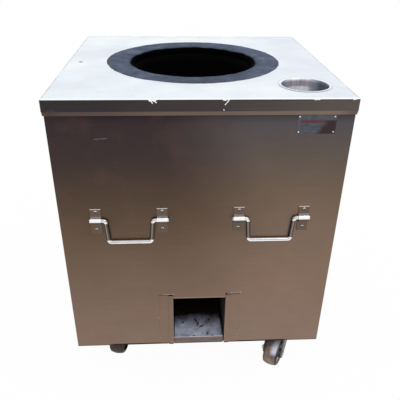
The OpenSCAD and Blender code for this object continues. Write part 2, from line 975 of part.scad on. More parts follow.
module axle() {
    head_d = 1.7 * axle_d;
    head_h = 0.65 * axle_d;
    axle_nut_h = 0.8 * axle_d;
    color([0.75, 0.75, 0.76])
        translate([0, trail, wheel_r])
            rotate([0, 90, 0]) {
                translate([0, 0, -leg_out - head_h])
                    cylinder(h = head_h, d = head_d, $fn = 6);
                translate([0, 0, -leg_out - head_h])
                    cylinder(h = 2 * leg_out + head_h + axle_nut_h + axle_end, d = axle_d);
                translate([0, 0, leg_out])
                    cylinder(h = axle_nut_h, d = head_d, $fn = 6);
            }
}

module wheel() {
    rim_r = wheel_r - rim_t;
    half = wheel_w / 2;
    bore_r = axle_d / 2 + bush_t;
    round_steps = 4;
    edge = [for (i = [0:round_steps])
        let (a = 90 * i / round_steps)
        [wheel_r - crown - tread_round * (1 - cos(a)), half - tread_round * (1 - sin(a))]];
    right = concat([[bore_r, hub_half], [hub_r, hub_half], [hub_r, web_half], [rim_r - rim_slope, web_half],
        [rim_r, half]], reversed(edge), [[wheel_r, tread_flat]]);
    color([0.50, 0.44, 0.41])
        translate([0, trail, wheel_r])
            rotate([0, 90, 0])
                rotate_extrude()
                    polygon(concat(right, [for (p = reversed(right)) [p[0], -p[1]]]));
}

module bush() {
    color([0.70, 0.60, 0.35])
        translate([-hub_half, trail, wheel_r])
            rotate([0, 90, 0])
                difference() {
                    cylinder(h = 2 * hub_half, r = axle_d / 2 + bush_t);
                    translate([0, 0, -cut])
                        cylinder(h = 2 * (hub_half + cut), r = axle_d / 2 + running);
                }
}

// One swivelling piece of a caster, turned as that caster stands at rest
module turned(i) {
    at_caster(i)
        rotate([0, 0, caster_turns[i]])
            children();
}

// ---------- what is drawn ----------

top_cover();
front_panel();
back_panel();
left_side_panel();
right_side_panel();
bottom_plate();
corner_plates();
base_rail_front();
base_rail_back();
base_rail_left();
base_rail_right();
corner_posts();
deck_rails();
top_rails();
deck_plate();
ash_duct();
ash_tray();
fire_grate();
hearth_ring();
clay_pot();
insulation();
mouth_collar();
shutter_guide_left();
shutter_guide_right();
cup();
name_plate();
name_plate_rivets();
handle_saddles_front();
handle_saddles_rear();
handle_screws_front();
handle_screws_rear();
bail_at(-1, 0);  // bail_front_left
bail_at(1, 0);  // bail_front_right
bail_at(-1, 1);  // bail_rear_left
bail_at(1, 1);  // bail_rear_right
caster_top_plates();
caster_kingpins();
caster_bolts();
turned(0) fork();  // fork_front_left
turned(1) fork();  // fork_front_right
turned(2) fork();  // fork_rear_left
turned(3) fork();  // fork_rear_right
turned(0) axle();  // axle_front_left
turned(1) axle();  // axle_front_right
turned(2) axle();  // axle_rear_left
turned(3) axle();  // axle_rear_right
turned(0) wheel();  // wheel_front_left
turned(1) wheel();  // wheel_front_right
turned(2) wheel();  // wheel_rear_left
turned(3) wheel();  // wheel_rear_right
turned(0) bush();  // bush_front_left
turned(1) bush();  // bush_front_right
turned(2) bush();  // bush_rear_left
turned(3) bush();  // bush_rear_right
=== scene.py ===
"""Looks of a clay tandoor oven in a square stainless steel cabinet on casters.

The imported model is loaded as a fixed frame, in metres, with the origin on the floor under the middle
of the cabinet and the front towards -Y. Panels, guides, rods, straps, forks and the inner steelwork stay
CAD pieces with new finishes. The panels, guides, straps, forks, tray, grate and caster bolts have softened
edges. The cover, the plaster collar, the clay, the cup, the wheels and axles, the handle screws, the name
plate, the ash, the welds and the scraps of film are modelled here.
"""

from __future__ import annotations

import json
import logging
import math
import random
from dataclasses import dataclass
from enum import Enum
from typing import Callable, Iterable, Sequence

import bmesh
import bpy
from mathutils import Matrix, Vector, noise


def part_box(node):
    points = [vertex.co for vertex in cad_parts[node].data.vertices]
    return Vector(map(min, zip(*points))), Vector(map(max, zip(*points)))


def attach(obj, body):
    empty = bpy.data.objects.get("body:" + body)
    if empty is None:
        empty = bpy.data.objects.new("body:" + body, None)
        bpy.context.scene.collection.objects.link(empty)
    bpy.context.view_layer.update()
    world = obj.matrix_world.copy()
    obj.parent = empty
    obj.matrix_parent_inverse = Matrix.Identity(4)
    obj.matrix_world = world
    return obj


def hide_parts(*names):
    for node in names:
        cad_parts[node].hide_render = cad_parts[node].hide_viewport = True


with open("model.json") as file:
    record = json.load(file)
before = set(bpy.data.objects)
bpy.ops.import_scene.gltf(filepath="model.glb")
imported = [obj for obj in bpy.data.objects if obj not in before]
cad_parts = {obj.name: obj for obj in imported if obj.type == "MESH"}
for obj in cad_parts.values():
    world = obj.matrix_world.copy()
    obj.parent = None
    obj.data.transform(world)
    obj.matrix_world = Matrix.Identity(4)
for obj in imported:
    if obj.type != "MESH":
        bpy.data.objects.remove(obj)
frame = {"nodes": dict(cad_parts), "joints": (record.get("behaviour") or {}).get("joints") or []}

log = logging.getLogger("tandoor")

Socket = bpy.types.NodeSocket
Material = bpy.types.Material
Piece = bpy.types.Object
MeshData = bmesh.types.BMesh
Colour = tuple[float, float, float]
Point = tuple[float, float, float]
Profile = list[tuple[float, float]]
Stops = Sequence[tuple[float, Colour]]
Loop = list[bmesh.types.BMVert]
Stroke = tuple[tuple[float, float], tuple[float, float], float]
Shift = Callable[[float, int, float, float], tuple[float, float]]

# Bodies that pieces ride on, besides the swivel and the roller of each corner.
OVEN = "oven"
TRAY = "ash_tray"
CORNERS = ("front_left", "front_right", "rear_left", "rear_right")

# Centre on X and Y of the small hole in the cover, and its radius, in metres.
VENT = (-0.365, -0.013)
VENT_RADIUS = 0.0025

# Points of a CAD mesh that are closer than this are one point, in metres.
MERGE = 0.00002

# Radius of the pinhole that a turned piece has instead of a point on its axis, in metres.
PINHOLE = 0.0001


def srgb(red: int, green: int, blue: int) -> Colour:
    """Turns a colour as seen on a screen into the linear one that shaders use.

    Args:
        red: Red, 0 to 255.
        green: Green, 0 to 255.
        blue: Blue, 0 to 255.

    Returns:
        The linear colour.
    """
    def linear(value: int) -> float:
        """Undoes the screen's gamma for one channel."""
        share = value / 255
        return share / 12.92 if share <= 0.04045 else ((share + 0.055) / 1.055) ** 2.4

    return linear(red), linear(green), linear(blue)


class Direction(Enum):
    """Direction that brush lines run along, as a stretch of the noise on X, Y and Z."""

    ALONG_X = (0.02, 1.0, 1.0)
    ALONG_Z = (1.0, 1.0, 0.02)
    NONE = (1.0, 1.0, 1.0)


# ---------------------------------------------------------------------------------------------
# Node building
# ---------------------------------------------------------------------------------------------


class Shader:
    """A material being built: it adds nodes and joins their sockets."""

    def __init__(self, name: str) -> None:
        """Starts a material with one Principled shader.

        Args:
            name: Name of the material.
        """
        self.material = bpy.data.materials.new(name)
        self.material.use_nodes = True
        self.tree = self.material.node_tree
        self.bsdf = self.tree.nodes["Principled BSDF"]
        self.place = self.add("ShaderNodeTexCoord").outputs["Object"]

    def add(self, kind: str, **settings: object) -> bpy.types.Node:
        """Adds a node and sets its properties.

        Args:
            kind: Type name of the node.
            **settings: Properties of the node, such as its operation.

        Returns:
            The node.
        """
        node = self.tree.nodes.new(kind)
        for name, value in settings.items():
            setattr(node, name, value)
        return node

    def put(self, socket: Socket, value: object) -> None:
        """Links a socket to another socket, or sets it to a plain value.

        Args:
            socket: Input socket.
            value: Output socket, number or colour.
        """
        if isinstance(value, Socket):
            self.tree.links.new(value, socket)
        elif isinstance(value, tuple) and len(socket.default_value) == 4:
            socket.default_value = (*value[:3], 1.0)
        else:
            socket.default_value = value

    def surface(self, **sockets: object) -> None:
        """Sets sockets of the Principled shader.

        Args:
            **sockets: Value or socket for each input, with _ for each space in its name.
        """
        for name, value in sockets.items():
            self.put(self.bsdf.inputs[name.replace("_", " ")], value)

    def math(self, operation: str, first: object, second: object = 0.0, third: object = 0.0,
             clamp: bool = False) -> Socket:
        """Adds one step of arithmetic.

        Args:
            operation: Name of the operation, such as MULTIPLY_ADD.
            first: First number or socket.
            second: Second number or socket.
            third: Third number or socket.
            clamp: Whether the result is kept between 0 and 1.

        Returns:
            The result's socket.
        """
        node = self.add("ShaderNodeMath", operation=operation, use_clamp=clamp)
        for socket, value in zip(node.inputs, (first, second, third)):
            self.put(socket, value)
        return node.outputs[0]

    def times(self, *factors: object) -> Socket:
        """Multiplies numbers and sockets.

        Args:
            *factors: Two or more numbers or sockets.

        Returns:
            The socket with the product.
        """
        product = factors[0]
        for factor in factors[1:]:
            product = self.math("MULTIPLY", product, factor)
        return product

    def axis(self, name: str) -> Socket:
        """Gives one coordinate of the place on the object, in metres.

        Args:
            name: X, Y or Z.

        Returns:
            The socket with the coordinate.
        """
        node = self.add("ShaderNodeSeparateXYZ")
        self.put(node.inputs[0], self.place)
        return node.outputs[name]

    def radius(self, centre: tuple[float, float]) -> Socket:
        """Gives the distance from an upright axis.

        Args:
            centre: Place of the axis on X and Y.

        Returns:
            The socket with the distance in metres.
        """
        x = self.math("SUBTRACT", self.axis("X"), centre[0])
        y = self.math("SUBTRACT", self.axis("Y"), centre[1])
        return self.math("SQRT", self.math("ADD", self.times(x, x), self.times(y, y)))

    def span(self, value: object, low: float, high: float) -> Socket:
        """Maps a number that runs from low to high smoothly onto 0 to 1.

        Args:
            value: The number or socket.
            low: Value that gives 0.
            high: Value that gives 1, and may be the smaller of the two.

        Returns:
            The socket with the result.
        """
        node = self.add("ShaderNodeMapRange", interpolation_type="SMOOTHSTEP")
        self.put(node.inputs["Value"], value)
        if low > high:
            node.inputs["From Min"].default_value = high
            node.inputs["From Max"].default_value = low
            node.inputs["To Min"].default_value = 1.0
            node.inputs["To Max"].default_value = 0.0
        else:
            node.inputs["From Min"].default_value = low
            node.inputs["From Max"].default_value = high
        return node.outputs[0]

    def noise(self, scale: float, detail: float = 3.0, rough: float = 0.5,
              direction: Direction = Direction.NONE, shift: Point = (0, 0, 0)) -> Socket:
        """Adds a noise that is fixed to the object.

        Args:
            scale: Features per metre.
            detail: Octaves of detail.
            rough: Strength of the finer octaves.
            direction: Direction in which the noise is drawn out into lines.
            shift: Offset of the pattern, in metres.

        Returns:
            The socket with the noise, around 0.5.
        """
        mapping = self.add("ShaderNodeMapping")
        mapping.inputs["Scale"].default_value = direction.value
        mapping.inputs["Location"].default_value = shift
        self.put(mapping.inputs["Vector"], self.place)
        node = self.add("ShaderNodeTexNoise")
        self.put(node.inputs["Vector"], mapping.outputs[0])
        node.inputs["Scale"].default_value = scale
        node.inputs["Detail"].default_value = detail
        node.inputs["Roughness"].default_value = rough
        return node.outputs[0]

    def ramp(self, value: object, stops: Stops) -> Socket:
        """Adds a colour ramp.

        Args:
            value: Socket that drives the ramp.
            stops: Places from 0 to 1, each with its colour.

        Returns:
            The socket with the colour.
        """
        node = self.add("ShaderNodeValToRGB")
        elements = node.color_ramp.elements
        while len(elements) < len(stops):
            elements.new(0.5)
        for element, (place, colour) in zip(elements, stops):
            element.position = place
            element.color = (*colour, 1.0)
        self.put(node.inputs[0], value)
        return node.outputs[0]

    def mix(self, share: object, first: object, second: object) -> Socket:
        """Mixes two colours.

        Args:
            share: Share of the second colour, a number or socket.
            first: First colour or socket.
            second: Second colour or socket.

        Returns:
            The socket with the mixed colour.
        """
        node = self.add("ShaderNodeMix", data_type="RGBA", blend_type="MIX")
        self.put(node.inputs[0], share)
        self.put(node.inputs[6], first)
        self.put(node.inputs[7], second)
        return node.outputs[2]

    def tint(self, colour: object, paint: object, mask: object, share: object) -> Socket:
        """Lays a paint over a colour where a mask is 1.

        Args:
            colour: Colour or socket below.
            paint: Colour or socket laid over it.
            mask: Socket from 0 to 1.
            share: How much of the paint shows where the mask is 1.

        Returns:
            The socket with the colour.
        """
        return self.mix(self.times(mask, share), colour, paint)

    def vary(self, colour: object, pattern: object, low: float, high: float) -> Socket:
        """Makes a colour darker or lighter by a pattern.

        Args:
            colour: Colour or socket.
            pattern: Socket with the pattern, around 0.5.
            low: Factor where the pattern is 0.25.
            high: Factor where the pattern is 0.75.

        Returns:
            The socket with the colour.
        """
        node = self.add("ShaderNodeHueSaturation")
        slope = (high - low) / 0.5
        self.put(node.inputs["Value"], self.math("MULTIPLY_ADD", pattern, slope, low - 0.25 * slope))
        self.put(node.inputs["Color"], colour)
        return node.outputs[0]

    def facing(self, axis: str) -> Socket:
        """Gives how far the surface faces along an axis.

        Args:
            axis: X, Y or Z.

        Returns:
            The socket with 0 for away from the axis, 0.5 for across it and 1 for along it.
        """
        node = self.add("ShaderNodeSeparateXYZ")
        self.put(node.inputs[0], self.add("ShaderNodeTexCoord").outputs["Normal"])
        return self.math("MULTIPLY_ADD", node.outputs[axis], 0.5, 0.5)

    def stroke(self, start: tuple[float, float], end: tuple[float, float],
               width: float) -> Socket:
        """Marks a thin line on an upright sheet that faces along Y.

        Args:
            start: X and Z of the left end, in metres.
            end: X and Z of the right end, in metres.
            width: Width of the line in metres.

        Returns:
            The socket with 1 on the line and 0 beside it.
        """
        x = self.axis("X")
        slope = (end[1] - start[1]) / (end[0] - start[0])
        line = self.math("MULTIPLY_ADD", x, slope, start[1] - slope * start[0])
        apart = self.math("ABSOLUTE", self.math("SUBTRACT", self.axis("Z"), line))
        along = self.times(self.span(x, start[0], start[0] + 4 * width),
                           self.span(x, end[0], end[0] - 4 * width))
        return self.times(along, self.span(apart, width, 0.3 * width))

    def bump(self, height: object, depth: float, strength: float = 1.0) -> None:
        """Raises the surface by a height pattern; a further call adds to the one before.

        Args:
            height: Socket with the height, 0 to 1.
            depth: Height in metres that 1 stands for.
            strength: How much of it shows.
        """
        node = self.add("ShaderNodeBump")
        node.inputs["Strength"].default_value = strength
        node.inputs["Distance"].default_value = depth
        self.put(node.inputs["Height"], height)
        normal = self.bsdf.inputs["Normal"]
        if normal.is_linked:
            self.put(node.inputs["Normal"], normal.links[0].from_socket)
        self.put(normal, node.outputs[0])


# ---------------------------------------------------------------------------------------------
# Finishes
# ---------------------------------------------------------------------------------------------


@dataclass(frozen=True)
class Finish:
    """Finish of one kind of piece.

    Attributes:
        name: Name of the material.
    """

    name: str

    def paint(self, s: Shader) -> None:
        """Adds the finish to a material.

        Args:
            s: Material being built.
        """
        raise NotImplementedError

    def make(self) -> Material:
        """Builds the material.

        Returns:
            The material.
        """
        s = Shader(self.name)
        self.paint(s)
        return s.material


@dataclass(frozen=True)
class PanelSteel(Finish):
    """Satin stainless sheet of the cabinet with a painted reflection, dark above and warm brown towards the
    foot.

    Attributes:
        top: Height where the dark end of the tone begins, in metres.
        foot: Height where the light end of the tone is reached, in metres.
        left: Place on X up to which the left tone lasts.
        right: Place on X from which the right tone lasts.
        front: Places on Y between which the marks of the front fade out.
        scratches: Scratches on the front: both ends on X and Z, and the width.
        notches: Burnt notches beside the opening, in the same form.
        opening: Half the width of the opening, and its top height.
        foot_shadow: Distances from the middle on X where the painted shadow along the foot is full and where
            it thins.
    """

    top: float
    foot: float
    left: float = -0.06
    right: float = 0.26
    front: tuple[float, float] = (-0.25, -0.35)
    scratches: tuple[Stroke, ...] = (
        ((-0.282, 0.8770), (-0.244, 0.8790), 0.0013), ((-0.193, 0.9298), (-0.187, 0.9310), 0.0016),
    )
    notches: tuple[Stroke, ...] = (
        ((0.0785, 0.3549), (0.0930, 0.3544), 0.0036), ((-0.0925, 0.3552), (-0.0785, 0.3556), 0.0020),
    )
    opening: tuple[float, float] = (0.083, 0.340)
    foot_shadow: tuple[float, float] = (0.280, 0.305)

    def tone(self, s: Shader) -> Socket:
        """Gives the painted reflection over the panel, lighter downwards and to the right, with a painted
        shadow under the cover's hem.

        Args:
            s: Material being built.

        Returns:
            The socket with the colour.
        """
        down = s.math("DIVIDE", s.math("SUBTRACT", self.top, s.axis("Z")), self.top - self.foot, clamp=True)
        dim = s.ramp(down, [
            (0.0, srgb(45, 36, 38)), (0.03, srgb(59, 48, 51)), (0.17, srgb(65, 54, 52)),
            (0.25, srgb(78, 63, 55)), (0.38, srgb(93, 76, 62)), (0.53, srgb(109, 90, 75)),
            (0.68, srgb(121, 101, 86)), (0.84, srgb(130, 108, 94)), (1.0, srgb(134, 113, 99)),
        ])
        lit = s.ramp(down, [
            (0.0, srgb(66, 60, 62)), (0.03, srgb(84, 80, 83)), (0.17, srgb(100, 88, 80)),
            (0.30, srgb(115, 97, 82)), (0.45, srgb(124, 105, 91)), (0.60, srgb(133, 110, 94)),
            (0.80, srgb(137, 114, 99)), (1.0, srgb(139, 118, 104)),
        ])
        wander = s.math("MULTIPLY_ADD", s.noise(3.0, 2.0), 0.16, -0.08)
        spread = s.math("MULTIPLY_ADD", s.span(down, 0.36, 0.08), 0.085, s.axis("X"))
        return s.mix(s.span(s.math("ADD", spread, wander), self.left, self.right), dim, lit)

    def paint(self, s: Shader) -> None:
        """Adds the finish to a material.

        Args:
            s: Material being built.
        """
        lines = s.noise(420, 2.0, 0.6, Direction.ALONG_X)
        colour = s.vary(self.tone(s), lines, 0.93, 1.07)
        colour = s.vary(colour, s.noise(7.0, 4.0, 0.6, shift=(3, 1, 7)), 0.95, 1.05)
        warm = s.span(s.noise(11.0, 3.0, 0.6, shift=(6, 2, 4)), 0.50, 0.72)
        colour = s.tint(colour, srgb(120, 84, 72), warm, 0.10)
        x, height = s.axis("X"), s.axis("Z")
        front = s.span(s.axis("Y"), *self.front)
        scratch = s.math("MAXIMUM", *(s.stroke(*line) for line in self.scratches))
        scratch = s.times(scratch, front, s.span(s.noise(300, 2.0), 0.30, 0.55))
        colour = s.tint(colour, srgb(176, 172, 172), scratch, 0.34)
        # Painted shadow along the foot of the panels, fainter towards the sides.
        full, thin = self.foot_shadow
        inner = s.math("MULTIPLY_ADD", s.span(s.math("ABSOLUTE", x), thin, full), 0.80, 0.16)
        foot = s.span(height, self.foot + 0.0068, self.foot + 0.0042)
        colour = s.mix(s.times(foot, inner), colour, srgb(20, 14, 10))
        right, left = (s.stroke(*line) for line in self.notches)
        notch = s.math("MAXIMUM", right, s.times(left, 0.6))
        colour = s.tint(colour, srgb(40, 31, 29), s.times(notch, front), 0.85)
        half, lintel = self.opening
        over = s.times(s.span(s.math("ABSOLUTE", x), half + 0.002, half), front,
                       s.span(height, lintel + 0.0015, lintel))
        colour = s.tint(colour, srgb(168, 150, 136), over, 0.45)
        s.surface(Base_Color=colour, Metallic=0.92, Roughness=s.math("MULTIPLY_ADD", lines, 0.10, 0.34))
        s.bump(lines, 0.00006, 0.5)
        s.bump(s.noise(5.0, 1.0), 0.0022, 0.35)


@dataclass(frozen=True)
class CoverSteel(Finish):
    """Sheet of the cover with painted reflections: a bright top, a dark skirt and a little lighter hem under
    it.

    Attributes:
        top: Height of the cover's top face, in metres.
        hem: Height where the skirt bends in, in metres.
        half: Half the width of the cover, in metres.
        stain: Radius round the vent where the stain is full and where it ends.
    """

    top: float
    hem: float
    half: float
    stain: tuple[float, float] = (0.0047, 0.0080)

    def deck(self, s: Shader) -> Socket:
        """Gives the colour of the top: a nearly white painted reflection, with faint blue clouds and wiped
        streaks.

        Args:
            s: Material being built.

        Returns:
            The socket with the colour.
        """
        cloud = s.noise(5.0, 4.0, 0.6)
        deck = s.ramp(cloud, [(0.32, srgb(224, 232, 242)), (0.50, srgb(235, 243, 249)),
                              (0.68, srgb(245, 251, 253))])
        wiped = s.span(s.noise(19.0, 5.0, 0.62, shift=(2, 5, 1)), 0.56, 0.78)
        deck = s.tint(deck, srgb(200, 208, 224), wiped, 0.30)
        mauve = s.span(s.noise(8.0, 3.0, 0.6, shift=(9, 4, 2)), 0.52, 0.72)
        deck = s.tint(deck, srgb(222, 216, 238), mauve, 0.22)
        x, y = s.axis("X"), s.axis("Y")
        # Painted reflection, bluer to the right.
        right = s.span(x, 0.08, 0.36)
        deck = s.tint(deck, srgb(218, 222, 238), right, 0.34)
        from_vent = s.radius(VENT)
        stain = s.span(s.times(from_vent, from_vent), self.stain[1] ** 2, self.stain[0] ** 2)
        deck = s.tint(deck, srgb(52, 48, 52), stain, 0.92)
        back = s.math("MAXIMUM", s.span(y, self.half - 0.0110, self.half - 0.0050),
                      s.span(s.math("ABSOLUTE", x), self.half - 0.0050, self.half - 0.0026))
        ragged = s.times(back, s.span(s.noise(26.0, 4.0, 0.7, shift=(3, 8, 2)), 0.36, 0.56))
        deck = s.tint(deck, srgb(150, 142, 146), ragged, 0.70)
        # Whiter painted reflection along the front of the top.
        return s.mix(s.span(y, 0.0135 - self.half, 0.0095 - self.half), deck, srgb(250, 252, 254))

    def skirt(self, s: Shader) -> Socket:
        """Gives the colour of the skirt and of the hem under it, a painted reflection, with painted shade
        under the bend.

        Args:
            s: Material being built.

        Returns:
            The socket with the colour.
        """
        # Painted reflection: darker to the left, lighter to the right and on the hem.
        drift = s.math("MULTIPLY_ADD", s.noise(7.0, 2.0), 0.30, -0.15)
        across = s.math("ADD", s.times(s.axis("X"), 0.5 / self.half), drift)
        tone = s.math("ADD", across, 0.5, clamp=True)
        skirt = s.ramp(tone, [(0.0, srgb(50, 47, 48)), (0.5, srgb(66, 59, 60)), (1.0, srgb(90, 83, 79))])
        hem = s.ramp(tone, [(0.0, srgb(86, 70, 68)), (0.45, srgb(108, 92, 83)), (1.0, srgb(126, 110, 99))])
        corner = s.span(s.math("ABSOLUTE", s.axis("X")), self.half - 0.055, self.half - 0.012)
        hem = s.tint(hem, skirt, corner, 0.65)
        height = s.axis("Z")
        side = s.mix(s.span(height, self.hem + 0.0010, self.hem - 0.0006), skirt, hem)
        tint = s.times(corner, s.span(s.noise(40.0, 3.0), 0.35, 0.65))
        side = s.tint(side, srgb(112, 90, 74), tint, 0.35)
        # Painted shade just under the bend.
        under_bend = s.span(height, self.top - 0.0060, self.top - 0.0016)
        return s.tint(side, srgb(38, 33, 40), under_bend, 0.45)

    def paint(self, s: Shader) -> None:
        """Adds the finish to a material.

        Args:
            s: Material being built.
        """
        lines = s.noise(380, 2.0, 0.6, Direction.ALONG_X)
        on_top = s.span(s.axis("Z"), self.top - 0.0014, self.top - 0.0005)
        colour = s.mix(on_top, self.skirt(s), self.deck(s))
        colour = s.vary(colour, lines, 0.975, 1.025)
        s.surface(Base_Color=colour, Metallic=0.90, Roughness=0.34)
        s.bump(lines, 0.00005, 0.4)
        s.bump(s.noise(4.0, 1.0, shift=(4, 4, 0)), 0.002, 0.3)


@dataclass(frozen=True)
class PolishedSteel(Finish):
    """Bright steel of rods, straps, screws and rivets, with painted highlights and reflections by the way each
    face turns.

    Attributes:
        tones: Colour, a painted highlight and reflection, by how far the surface faces along the axis, from 0
            for away to 1 for along.
        rough: Roughness of the clean surface.
        wear: Share of dull film over it.
        axis: Axis that the tones run along.
        upright: Heights between which a rod stands upright, in metres.
        side_tones: Colour of the upright part by how far it faces right, a painted highlight and reflection.
    """

    tones: Stops
    rough: float
    wear: float = 0.25
    axis: str = "Z"
    upright: tuple[float, float] | None = None
    side_tones: Stops = ()

    def paint(self, s: Shader) -> None:
        """Adds the finish to a material.

        Args:
            s: Material being built.
        """
        film = s.span(s.noise(60.0, 4.0, 0.6), 0.45, 0.75)
        # Painted highlights and reflections by the way each face turns.
        colour = s.ramp(s.facing(self.axis), self.tones)
        if self.upright:
            height = s.axis("Z")
            low, high = self.upright
            leg = s.times(s.span(height, low, low + 0.003), s.span(height, high, high - 0.003))
            side = s.facing("X")
            cap = s.span(s.math("ABSOLUTE", s.math("SUBTRACT", side, 0.5)), 0.44, 0.485)
            colour = s.mix(s.math("MAXIMUM", leg, cap), colour, s.ramp(side, self.side_tones))
        s.surface(
            Base_Color=s.tint(colour, srgb(112, 104, 102), film, self.wear),
            Metallic=1.0,
            Roughness=s.math("MULTIPLY_ADD", film, 0.16, self.rough),
        )
        s.bump(s.noise(900, 2.0), 0.00003, 0.4)


@dataclass(frozen=True)
class StrapSteel(Finish):
    """Saddle strap: painted reflection as brown as the panel in front, white painted highlight on the upper
    half of its ridge and on its edges.

    Attributes:
        lit_from: Height above which the ridge is white, in metres.
        flange: Distance of the flanges' front from the middle of the oven, in metres.
        top: Height of the strap's upper edge, in metres.
    """

    lit_from: float
    flange: float
    top: float

    def paint(self, s: Shader) -> None:
        """Adds the finish to a material.

        Args:
            s: Material being built.
        """
        film = s.span(s.noise(90.0, 4.0, 0.6), 0.45, 0.75)
        # Painted reflection, brown in front, and a white painted highlight on faces turned up.
        colour = s.ramp(s.facing("Z"), [
            (0.30, srgb(74, 62, 54)), (0.505, srgb(104, 88, 76)), (0.54, srgb(250, 250, 252)),
            (1.0, srgb(254, 254, 254)),
        ])
        # White painted highlight on the upper half of the ridge.
        ridge = s.span(s.math("ABSOLUTE", s.axis("Y")), self.flange + 0.0006, self.flange + 0.0016)
        lit = s.times(ridge, s.span(s.axis("Z"), self.lit_from - 0.0012, self.lit_from + 0.0012))
        colour = s.mix(lit, colour, srgb(253, 253, 254))
        # Painted highlight along the upper edge.
        edge = s.span(s.axis("Z"), self.top - 0.0024, self.top - 0.0018)
        colour = s.tint(colour, srgb(226, 223, 224), edge, 0.75)
        s.surface(Base_Color=s.tint(colour, srgb(112, 104, 102), film, 0.08), Metallic=0.9,
                  Roughness=s.math("MULTIPLY_ADD", film, 0.16, 0.28))
        s.bump(s.noise(900, 2.0), 0.00003, 0.4)


@dataclass(frozen=True)
class CupSteel(Finish):
    """Mirror steel of the cup with painted reflections: a bright middle with upright streaks, and dark ends.

    Attributes:
        centre: Place of the cup's axis on X and Y.
        radius: Inside radius.
        out: Outer radius of the flange.
        top: Height of the cup's flange.
    """

    centre: tuple[float, float]
    radius: float
    out: float
    top: float

    def paint(self, s: Shader) -> None:
        """Adds the finish to a material.

        Args:
            s: Material being built.
        """
        # Painted reflection: bright in the middle and dark at the ends.
        across = s.math("DIVIDE", s.math("SUBTRACT", s.axis("X"), self.centre[0]), self.radius)
        colour = s.ramp(s.math("MULTIPLY_ADD", across, 0.5, 0.5, clamp=True), [
            (0.03, srgb(92, 98, 118)), (0.16, srgb(134, 144, 166)), (0.25, srgb(212, 220, 236)),
            (0.34, srgb(252, 253, 254)), (0.68, srgb(254, 254, 254)), (0.76, srgb(176, 186, 198)),
            (0.92, srgb(92, 98, 112)),
        ])
        streak = s.noise(120.0, 3.0, 0.55, Direction.ALONG_Z)
        colour = s.vary(colour, streak, 0.88, 1.08)
        depth = s.math("SUBTRACT", self.top, s.axis("Z"))
        # Painted reflection in the far wall, in bands.
        far = s.times(s.span(depth, 0.003, 0.006), s.span(depth, 0.028, 0.021),
                      s.span(s.math("ABSOLUTE", across), 0.72, 0.50))
        banded = s.ramp(streak, [(0.38, srgb(112, 112, 138)), (0.60, srgb(172, 158, 160))])
        colour = s.tint(colour, banded, far, 0.80)
        # Painted highlight on the flange, greyer at its outer edge.
        flange = s.span(depth, 0.0030, 0.0016)
        colour = s.mix(flange, colour, srgb(240, 245, 249))
        rim = s.span(s.radius(self.centre), self.out - 0.0026, self.out - 0.0010)
        colour = s.tint(colour, srgb(150, 152, 160), s.times(rim, flange), 0.75)
        s.surface(Base_Color=colour, Metallic=0.22, Roughness=s.math("MULTIPLY_ADD", streak, 0.14, 0.22))
        s.bump(s.noise(420.0, 2.0, 0.5, Direction.ALONG_Z), 0.00004, 0.4)


@dataclass(frozen=True)
class PlateMetal(Finish):
    """Printed name plate with plain bands and rules and no words.

    Attributes:
        low: Lower left corner of the plate on X and Z.
        high: Upper right corner of the plate on X and Z.
    """

    low: tuple[float, float]
    high: tuple[float, float]

    def paint(self, s: Shader) -> None:
        """Adds the finish to a material.

        Args:
            s: Material being built.
        """
        blotch = s.noise(60.0, 4.0, 0.6)
        x = s.math("DIVIDE", s.math("SUBTRACT", s.axis("X"), self.low[0]), self.high[0] - self.low[0])
        z = s.math("DIVIDE", s.math("SUBTRACT", s.axis("Z"), self.low[1]), self.high[1] - self.low[1])
        colour = s.ramp(blotch, [(0.3, srgb(60, 66, 72)), (0.7, srgb(86, 87, 94))])
        inset = s.times(s.span(x, 0.06, 0.065), s.span(x, 0.94, 0.935))
        for low, high, paint, share in (
            (0.575, 0.730, srgb(88, 42, 50), 0.85),
            (0.40, 0.43, srgb(58, 66, 76), 0.8),
            (0.31, 0.34, srgb(58, 66, 76), 0.8),
            (0.22, 0.25, srgb(58, 66, 76), 0.8),
        ):
            band = s.times(s.span(z, low, low + 0.01), s.span(z, high, high - 0.01))
            colour = s.tint(colour, paint, s.times(band, inset), share)
        slant = s.math("SUBTRACT", x, s.times(z, 0.35))
        shade = s.times(s.span(slant, 0.42, 0.62), s.span(z, 0.76, 0.66))
        colour = s.tint(colour, srgb(44, 24, 26), shade, 0.90)
        s.surface(Base_Color=colour, Metallic=0.55, Roughness=s.math("MULTIPLY_ADD", blotch, 0.2, 0.26))
        s.bump(s.noise(700, 2.0), 0.00002, 0.4)


